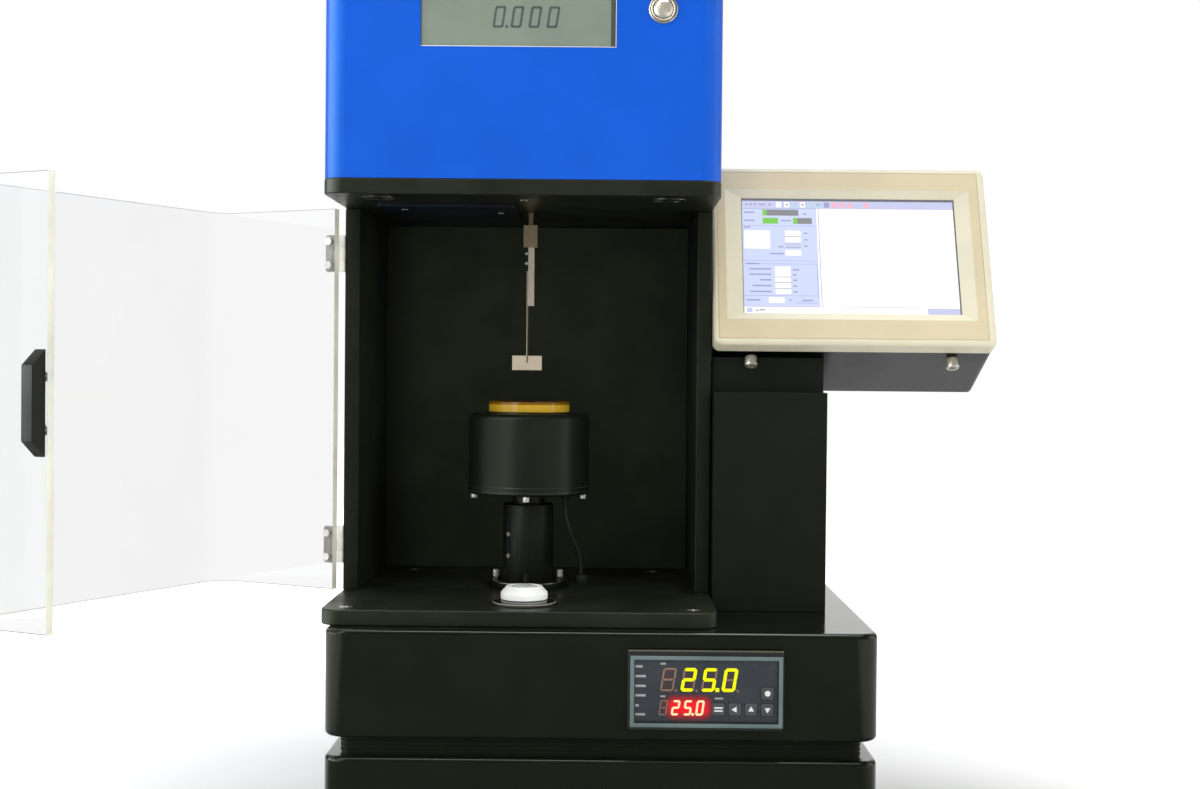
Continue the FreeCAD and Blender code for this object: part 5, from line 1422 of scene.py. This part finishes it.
@dataclass
class Head:
    """The head with its readout and button, and the hanger below it."""

    digit_form: tuple[float, ...] = (7.1, 13.8, 1.7, 0.15)
    digit_left: float = -19.6
    digit_foot: float = 363.8
    digit_pitch: float = 11.2
    bar_left: float = -1.5
    bar_trim: float = 1.3
    screw_left: float = -4.35
    jaw_screws: Span = (232.0, 225.3)
    frame_x: Span = (-64.0, 58.0)
    frame_z: Span = (352.0, 400.0)
    louvre_rows: int = 7
    louvre_foot: float = 70.0
    louvre_pitch: float = 9.0
    louvre_inset: float = 85.0
    screw_rise: float = 9.0
    screw_inset: Span = (30.0, 45.0)
    screw_head: Span = (2.7, 1.5)
    blade_height: float = 10.05

    def build(self) -> None:
        """Dresses the head and the hanger and adds their detail."""
        dress("head_cover", "head_blue")
        dress("readout_module", "lcd")
        dress("load_cell", "zinc", 0.4)
        dress("button_bezel", "button_steel")
        dress("button_cap", "button_steel")
        dress("hanger_rod", "rod_steel", 0.25)
        self._readout()
        self._button()
        self._hanger()
        self._cover_detail()

    def _readout(self) -> None:
        """The readout's frame and its digits."""
        x, z = self.frame_x, self.frame_z
        glass = span("readout_module", 1)[0]
        piece = Workpiece()
        piece.surround(x, z, (x[0] + 0.5, x[1] - 0.5), (z[0] + 0.5, z[1] - 0.5), (glass - 0.5, glass + 0.2), 0.1)
        # A dark strip inside the window's right side: painted shade of the recessed glass.
        piece.block((x[1] - 3.4, x[1] - 0.4), (glass - 0.3, glass + 0.1), (z[0] + 0.4, z[1] - 0.4), 0.05)
        # White strips along the window's foot and right side: a painted highlight on its cut edge.
        piece.block((x[0] + 0.3, x[1] - 0.1), (glass - 1.2, glass - 0.6), (z[0] + 0.05, z[0] + 0.5), 0.05, 1)
        piece.block((x[1] - 0.5, x[1] - 0.05), (glass - 1.2, glass - 0.6), (z[0] + 0.05, z[1] - 0.1), 0.05, 1)
        piece.finish("readout_frame", ["lcd_frame", "mark_white"], Body.ROOT, "lcd")
        piece = Workpiece()
        digits = Digits(piece, *self.digit_form, (glass - 0.05, glass + 0.02))
        for index in range(4):
            left = self.digit_left + index * self.digit_pitch
            digits.draw("0", left, self.digit_foot, 0)
        digits.draw(".", self.digit_left + 8.2, self.digit_foot, 0)
        piece.finish("readout_digits", ["lcd_dark"], Body.ROOT, "lcd")

    def _cover_detail(self) -> None:
        """Louvres on the cover's rear and the screws that hold the cover to the plate."""
        piece = Workpiece()
        (left, right), (front, rear), (foot, _) = (span("head_cover", axis) for axis in range(3))
        for row in range(self.louvre_rows):
            z = foot + self.louvre_foot + row * self.louvre_pitch
            piece.block((left + self.louvre_inset, right - self.louvre_inset), (rear - 0.6, rear + 1.2),
                        (z, z + 3.4), 0.8, segments=3)
        for y in (front + self.screw_inset[1], rear - self.screw_inset[1]):
            cap_screw(piece, (left, y, foot + self.screw_rise), (-1, 0, 0), *self.screw_head, 1)
            cap_screw(piece, (right, y, foot + self.screw_rise), (1, 0, 0), *self.screw_head, 1)
        for x in (left + self.screw_inset[0], right - self.screw_inset[0]):
            cap_screw(piece, (x, rear, foot + self.screw_rise), (0, 1, 0), *self.screw_head, 1)
        piece.finish("cover_fittings", ["head_blue", "steel"], Body.ROOT, "head_blue")

    def _button(self) -> None:
        """The turned rings of the push button."""
        x, z = middle("button_cap", 0), middle("button_cap", 2)
        front = span("button_cap", 1)[0]
        piece = Workpiece()
        piece.turned([(0.0, 0.0), (5.6, 0.0), (5.4, 0.3), (4.4, 0.8), (3.0, 1.2), (1.5, 1.42), (0.0, 1.5)],
                     (x, front + 0.02, z), (0, -1, 0), 48)
        piece.finish("button_dome", ["hammered_steel"], Body.TARE, "bright_steel")
        front = span("button_bezel", 1)[0]
        piece = Workpiece()
        piece.turned([(6.5, -0.3), (6.7, 0.2), (7.1, 0.4), (7.5, 0.2), (7.7, -0.3), (6.5, -0.3)], (x, front, z),
                     (0, -1, 0), 48)
        piece.finish("button_ring", ["button_steel"], Body.ROOT, "bright_steel")

    def _hanger(self) -> None:
        """The bar with its dark jaw and bright screws, and the blade on its wire."""
        piece = Workpiece()
        piece.node("hanger_bar")
        right = max(vert.co.x for vert in piece.mesh.verts)
        for vert in piece.mesh.verts:
            if vert.co.x > right - self.bar_trim:
                vert.co.x -= self.bar_trim
        # The jaw left of the bar is drawn black and its two screws bright.
        for face in piece.mesh.faces:
            at = face.calc_center_median()
            if at.x < self.bar_left - 0.05:
                face.material_index = 2 if at.x < self.screw_left else 1
        y = span("hanger_bar", 1)[0]
        for z in self.jaw_screws:
            piece.turned([(0, -0.3), (1.15, -0.3), (1.15, 0.1), (0.7, 0.55), (0, 0.7)], (-2.7, y + 0.1, z),
                         (0, -1, 0), 20, 2)
        piece.finish("hanger_bar_dark_jaw", ["bar_steel", "black_steel", "bright_steel"], Body.HANGER, "steel",
                     ["hanger_bar"])
        piece = Workpiece()
        piece.node("platinum_plate")
        low, high = span("platinum_plate", 2)
        y = middle("platinum_plate", 1)
        wire = middle("platinum_plate", 0)
        for face in piece.mesh.faces:
            at = face.calc_center_median()
            if at.z > low + self.blade_height or (abs(at.x - wire) < 1.0 and abs(at.y - y) > 0.35):
                face.material_index = 1
        piece.finish("platinum_blade", ["platinum", "wire_metal"], Body.HANGER, "platinum", ["platinum_plate"])


@dataclass
class Door:
    """The clear bent door with its hinges and handle."""

    sawn_area: float = 500.0

    def build(self) -> None:
        """Dresses the door's pieces."""
        dress("door_handle", "handle_black", 0.4)
        dress("door_hinge_leaves", "hinge_steel", 0.15)
        dress("door_screws", "bright_steel", 0.2)
        dress("frame_hinge_leaves", "hinge_steel", 0.15)
        piece = Workpiece()
        piece.node("door_sheet")
        # Sawn faces take the cream edge finish, partly painted light carried through the sheet.
        for face in piece.mesh.faces:
            face.material_index = 1 if abs(face.normal.z) > 0.9 else 0
        self._upright_edges(piece)
        edges = [e for e in piece.mesh.edges if e.calc_face_angle(0.0) > SAWN]
        soften(piece.mesh, edges, 0.25, 1)
        piece.finish("door_sheet_clear", ["clear_acrylic", "acrylic_edge"], Body.DOOR, "clear_acrylic", ["door_sheet"])

    def _upright_edges(self, piece: Workpiece) -> None:
        """Gives the sheet's two sawn upright ends the finish of its sawn edges.

        Args:
            piece: The door sheet's copy.
        """
        for face in piece.mesh.faces:
            corners = [edge for edge in face.edges if edge.calc_face_angle(0.0) > SAWN]
            if abs(face.normal.z) < 0.1 and face.calc_area() > self.sawn_area and len(corners) == len(face.edges):
                face.material_index = 1


PICTURE: tuple[tuple[float, float, float, float, int, str], ...] = (
    (0, 0, 1000, 1000, 0, "picture_white"), (0, 0, 1000, 20, 3, "picture_shadow"), (0, 0, 4, 1000, 3, "picture_shadow"),
    (993, 0, 1000, 1000, 3, "picture_shadow"), (0, 20, 1000, 88, 1, "picture_lilac"),
    (0, 88, 352, 940, 1, "picture_blue"), (352, 88, 360, 940, 2, "picture_white"),
    (360, 88, 363, 940, 2, "picture_line"), (0, 86, 360, 90, 2, "picture_line"),
    (100, 97, 120, 150, 3, "picture_green"), (120, 97, 268, 150, 2, "picture_grey"),
    (100, 170, 172, 222, 2, "picture_green"), (242, 170, 262, 222, 3, "picture_green"),
    (262, 170, 330, 222, 2, "picture_grey"), (12, 282, 132, 442, 2, "picture_white"),
    (202, 282, 275, 332, 2, "picture_white"), (202, 338, 275, 388, 2, "picture_white"),
    (202, 396, 275, 430, 2, "picture_lilac"), (202, 452, 275, 500, 2, "picture_white"),
    (0, 240, 345, 243, 2, "picture_line"), (0, 545, 345, 548, 2, "picture_line"),
    (10, 572, 345, 575, 2, "picture_line"),
    (345, 572, 347, 862, 2, "picture_line"), (150, 596, 222, 640, 2, "picture_white"),
    (150, 640, 222, 684, 2, "picture_white"), (150, 688, 222, 732, 2, "picture_white"),
    (150, 736, 222, 782, 2, "picture_white"), (150, 786, 222, 832, 2, "picture_white"),
    (0, 845, 345, 848, 2, "picture_line"), (118, 862, 190, 908, 2, "picture_white"),
    *((150, top, 222, top + 5, 3, "picture_grey") for top in (684, 732, 782)),
    *((202, top, 275, top + 4, 3, "picture_grey") for top in (332, 388, 430)),
    (242, 905, 345, 909, 2, "picture_line"), (4, 940, 845, 996, 1, "picture_white"),
    (0, 938, 845, 941, 2, "picture_line"), (845, 945, 1000, 1000, 1, "picture_lilac"),
    (15, 950, 42, 990, 2, "picture_lilac"), (55, 968, 70, 976, 2, "picture_shadow"),
    *((left, 30, left + 24, 76, 2, tone) for left, tone in (
        (165, "picture_white"), (203, "picture_white"), (240, "picture_cyan"), (277, "picture_white"),
        (315, "picture_cyan"), (350, "picture_cyan"), (390, "picture_line"), (426, "picture_pink"),
        (462, "picture_pink"), (500, "picture_pink"), (540, "picture_lilac"), (576, "picture_pink"))),
    *((left, 44, left + 11, 60, 3, "picture_line") for left in (20, 40, 60, 85, 100, 130, 210, 284, 356, 396)),
    *((left, top, right, top + 12, 2, "picture_line") for left, top, right in (
        (12, 116, 62), (12, 188, 62), (10, 248, 42), (185, 188, 232), (290, 130, 306), (168, 418, 194), (130, 478, 194),
        (290, 298, 306), (290, 356, 306), (290, 412, 306), (18, 566, 78), (32, 612, 132), (32, 658, 132),
        (80, 706, 132), (45, 756, 132), (32, 806, 132), (232, 618, 262), (232, 662, 250), (232, 708, 250),
        (232, 758, 250), (232, 808, 250), (14, 878, 78), (212, 878, 222), (270, 880, 320), (75, 962, 100))),
)


@dataclass
class Screen:
    """The touch screen with its bezel, picture, case and pedestal."""

    lean: float = -23.0
    hinge: Point = (0.0, 83.0, 170.3214)
    left: float = 125.6
    picture_x: Span = (146.4, 294.9)
    picture_v: Span = (24.0, 112.6)
    depth: float = 4.0
    field_x: Span = (129.2, 311.4)
    field_v: Span = (3.8, 131.6)
    window_x: Span = (135.0, 304.7)
    window_v: Span = (18.2, 117.8)
    groove: float = 0.4
    screw_x: Span = (152.0, 289.2)
    screw_v: float = 20.0
    screw_radius: float = 3.7
    knurls: int = 28
    louvre_rows: int = 6
    louvre_drop: float = 34.0
    louvre_pitch: float = 5.0
    louvre_length: float = 46.0
    louvre_inset: float = 30.0
    plate_half: float = 24.0
    plate_v: Span = (44.0, 72.0)
    cap_inset: float = 9.0
    cap_head: Span = (2.6, 1.5)
    rear: float = 84.0
    rear_x: Span = (126.6, 315.5)
    rear_v: Span = (0.0, 134.4)

    def build(self) -> None:
        """Dresses the screen and adds its detail."""
        dress("screen_bezel", "cream_plastic")
        dress("screen_case", "case_black")
        dress("screen_panel", "screen_glass")
        dress("pedestal", "pedestal_black", 0.5)
        self._picture()
        self._field()
        self._screws()
        self._rear()

    def leaned(self, piece: Workpiece) -> Workpiece:
        """Turns what was drawn upright, with v for height, back onto the leaning screen.

        Args:
            piece: The piece, drawn with its front across the y axis.

        Returns:
            The same piece.
        """
        turn = Matrix.Rotation(math.radians(self.lean), 4, "X")
        piece.move(Matrix.Translation(Vector(self.hinge)) @ turn)
        return piece

    def _picture(self) -> None:
        """The lit picture: flat areas that lie over each other in thin layers."""
        piece = Workpiece()
        x0, x1 = self.picture_x
        v0, v1 = self.picture_v
        tones = sorted({tone for *_, tone in PICTURE})
        for left, top, right, foot, layer, tone in PICTURE:
            front = self.depth - 0.06 - 0.02 * layer
            piece.block((x0 + (x1 - x0) * left / 1000, x0 + (x1 - x0) * right / 1000), (front, self.depth + 0.1),
                        (v1 - (v1 - v0) * foot / 1000, v1 - (v1 - v0) * top / 1000), tone=tones.index(tone))
        self.leaned(piece).finish("screen_picture", tones, Body.ROOT, "screen_glass")

    def _field(self) -> None:
        """The flat field of the bezel inside its groove."""
        piece = Workpiece()
        (left, right), (foot, top), line = self.field_x, self.field_v, self.groove
        piece.surround((left, right), (foot, top), (left + line, right - line), (foot + line, top - line),
                       (-0.02, 0.3), tone=1)
        piece.surround((left + line, right - line), (foot + line, top - line), self.window_x,
                       self.window_v, (-0.04, 0.3))
        self.leaned(piece).finish("bezel_field", ["cream_field", "cream_groove"], Body.ROOT, "cream_plastic")

    def _screws(self) -> None:
        """The two knurled screws below the case."""
        piece = Workpiece()
        for x in self.screw_x:
            piece.rod((x, self.screw_v, 1.5), (x, self.screw_v, -1.2), 3.2, sides=32, tone=1)
            piece.rod((x, self.screw_v, -1.0), (x, self.screw_v, -6.2), self.screw_radius, sides=32, edge=0.3)
            for index in range(self.knurls):
                angle = 2 * math.pi * index / self.knurls
                place = (x + self.screw_radius * math.cos(angle), self.screw_v + self.screw_radius * math.sin(angle))
                piece.rod((*place, -1.5), (*place, -5.6), 0.28, sides=6)
            piece.turned([(0, -0.2), (4.4, 0.0), (4.6, 0.9), (4.2, 2.2), (2.4, 2.4), (2.2, 0.9), (0, 0.9)],
                         (x, self.screw_v, -6.0), (0, 0, -1), 32)
        self.leaned(piece).finish("screen_screws", ["steel", "black_steel"], Body.ROOT, "steel")

    def _rear(self) -> None:
        """Louvres, a bare plate and screws on the rear of the case."""
        piece = Workpiece()
        low, high = self.rear_x
        for row in range(self.louvre_rows):
            v = self.rear_v[1] - self.louvre_drop + row * self.louvre_pitch
            for x in (low + self.louvre_inset, high - self.louvre_inset - self.louvre_length):
                piece.block((x, x + self.louvre_length), (self.rear - 0.5, self.rear + 0.9), (v, v + 2.0), 0.6,
                            segments=3)
        centre = (low + high) / 2
        piece.block((centre - self.plate_half, centre + self.plate_half), (self.rear - 0.3, self.rear + 0.5),
                    self.plate_v, 0.2, 1)
        for x in (low + self.cap_inset, high - self.cap_inset):
            for v in (self.rear_v[0] + self.cap_inset, self.rear_v[1] - self.cap_inset):
                cap_screw(piece, (x, self.rear, v), (0, 1, 0), *self.cap_head, 1)
        self.leaned(piece).finish("screen_rear_fittings", ["case_black", "steel"], Body.ROOT, "steel")


@dataclass(frozen=True)
class Lamp:
    """A soft square light."""

    name: str
    place: Point
    aim: Point
    side: float
    power: float
    colour: Colour = (1.0, 1.0, 1.0)
    mirrored: bool = True
    scattered: bool = True

    def build(self) -> None:
        """Adds the light."""
        data = bpy.data.lights.new(self.name, "AREA")
        data.shape = "SQUARE"
        data.size = self.side * MM
        data.energy = self.power
        data.color = self.colour
        lamp = bpy.data.objects.new(self.name, data)
        lamp.location = TO_FRAME @ Vector(self.place)
        way = Vector(self.aim) - Vector(self.place)
        lamp.rotation_euler = way.to_track_quat("-Z", "Y").to_euler()
        lamp.visible_camera = False
        lamp.visible_transmission = False
        lamp.visible_glossy = self.mirrored
        lamp.visible_diffuse = self.scattered
        bpy.context.scene.collection.objects.link(lamp)


@dataclass
class Studio:
    """A pale floor, a pale surround and soft lights."""

    floor_side: float = 12.0
    surround: float = 1.0
    room: float = 0.16
    fade: Span = (0.3, 0.95)
    lamps: tuple[Lamp, ...] = field(default_factory=lambda: (
        Lamp("key", (-1000, -1300, 1250), (60, 100, 180), 900, 8.0, (1.0, 0.985, 0.95)),
        Lamp("fill", (1400, -1300, 900), (120, 100, 180), 1300, 15.0, (1.0, 0.99, 0.97), False),
        Lamp("front", (54, -1500, 170), (54, 200, 120), 900, 6.5, (1.0, 0.99, 0.97), False),
        Lamp("left", (-1500, -150, 350), (0, 60, 180), 1300, 26.0, (0.92, 0.97, 1.0)),
        Lamp("left_strip", (-1200, -900, 320), (-100, 0, 180), 1100, 7.5, (0.95, 0.98, 1.0), True, False),
        Lamp("right", (1700, 100, 350), (120, 100, 180), 1300, 7.0),
        Lamp("overhead", (60, 50, 1900), (60, 50, 200), 800, 15.0),
        Lamp("sky", (60, -100, 1700), (60, -100, 0), 1800, 20.0, (1.0, 0.99, 0.97), True, False),
        Lamp("backdrop", (50, 2600, 900), (50, 100, 200), 4600, 58.0),
    ))

    def build(self) -> None:
        """Builds the floor, the surround and the lights."""
        bpy.context.scene.view_settings.view_transform = "Standard"
        self._floor()
        self._surround()
        for lamp in self.lamps:
            lamp.build()

    def _floor(self) -> None:
        """A wide pale floor under the feet."""
        part = bmesh.new()
        bmesh.ops.create_grid(part, x_segments=1, y_segments=1, size=self.floor_side / 2)
        data = bpy.data.meshes.new("floor")
        part.to_mesh(data)
        part.free()
        data.materials.append(self._pale())
        floor = bpy.data.objects.new("floor", data)
        bpy.context.scene.collection.objects.link(floor)

    def _pale(self) -> bpy.types.Material:
        """The floor's finish, which fades into the surround away from the instrument.

        Returns:
            The new material.
        """
        material, tree, surface = new_material("floor_pale")
        place = tree.add("TexCoord").outputs["Object"]
        reach = tree.add("VectorMath", {0: place}, operation="LENGTH").outputs["Value"]
        path = tree.add("LightPath")
        seen = tree.math("MAXIMUM", path.outputs["Is Camera Ray"], path.outputs["Is Transmission Ray"])
        glow = tree.math("MULTIPLY", tree.ramp(reach, *self.fade), seen)
        tree.link(glow, surface, "Emission Strength")
        shade = tree.blend(tree.ramp(tree.noise(1.3), 0.3, 0.7), (0.86, 0.86, 0.86), (0.89, 0.89, 0.89))
        sides = tree.add("SeparateXYZ", {0: place})
        # Painted reflection: ahead of the instrument the floor turns dark for glossy rays only, so the glossy fronts
        # mirror a dark floor.
        ahead = tree.math("MULTIPLY", tree.ramp(sides.outputs["Y"], 0.1, -0.1),
                          tree.ramp(tree.math("ABSOLUTE", sides.outputs["X"]), 0.7, 0.4))
        shade = tree.blend(tree.math("MULTIPLY", ahead, path.outputs["Is Glossy Ray"]), shade, (0.2, 0.2, 0.2))
        far = tree.math("MULTIPLY", tree.ramp(reach, *self.fade), path.outputs["Is Transmission Ray"])
        shade = tree.blend(far, shade, (0.0, 0.0, 0.0))
        tree.link(shade, surface, "Base Color")
        surface.inputs["Emission Color"].default_value = (1.0, 1.0, 1.0, 1.0)
        surface.inputs["Roughness"].default_value = 0.6
        surface.inputs["Specular IOR Level"].default_value = 0.0
        return material

    def _surround(self) -> None:
        """A pale surround that is brighter where it is seen than where it is mirrored."""
        world = bpy.data.worlds.new("surround")
        world.use_nodes = True
        bpy.context.scene.world = world
        tree = Tree(world.node_tree)
        path = tree.add("LightPath")
        seen = tree.math("MAXIMUM", path.outputs["Is Camera Ray"], path.outputs["Is Transmission Ray"])
        strength = tree.add("MapRange", {"Value": seen, "To Min": self.room, "To Max": self.surround})
        ground = world.node_tree.nodes["Background"]
        ground.inputs["Color"].default_value = (1.0, 1.0, 1.0, 1.0)
        world.node_tree.links.new(strength.outputs["Result"], ground.inputs["Strength"])


@dataclass(frozen=True)
class Camera:
    """The camera's place and aim, measured from the front of the chamber's base plate."""

    side: float = 54.45
    distance: float = 1055.96
    rise: float = 150.21
    turn: float = math.radians(0.253)
    tilt: float = math.radians(-0.764)
    roll: float = math.radians(0.533)
    focal_pixels: float = 1693.54
    picture_width: float = 1200.0
    sensor: float = 36.0

    def build(self) -> None:
        """Makes the camera and gives it to the scene."""
        data = bpy.data.cameras.new("camera")
        data.sensor_width = self.sensor
        data.lens = self.focal_pixels * self.sensor / self.picture_width
        data.clip_start = 10 * MM
        camera = bpy.data.objects.new("camera", data)
        bpy.context.scene.collection.objects.link(camera)
        place = Matrix.Translation(DATUM + Vector((self.side, -self.distance, self.rise)) * MM)
        aim = Matrix.Rotation(self.turn, 4, "Z") @ Matrix.Rotation(math.pi / 2 + self.tilt, 4, "X")
        camera.matrix_world = place @ aim @ Matrix.Rotation(self.roll, 4, "Z")
        bpy.context.scene.camera = camera


def main() -> None:
    """Builds the scene's parts in order."""
    logging.basicConfig(level=logging.INFO)
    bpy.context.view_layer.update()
    Camera().build()
    Studio().build()
    for assembly in (Base(), Controller(), Chamber(), Column(), Head(), Door(), Screen()):
        assembly.build()
        LOG.info("%s is dressed", type(assembly).__name__)


if __name__ == "__main__":
    main()
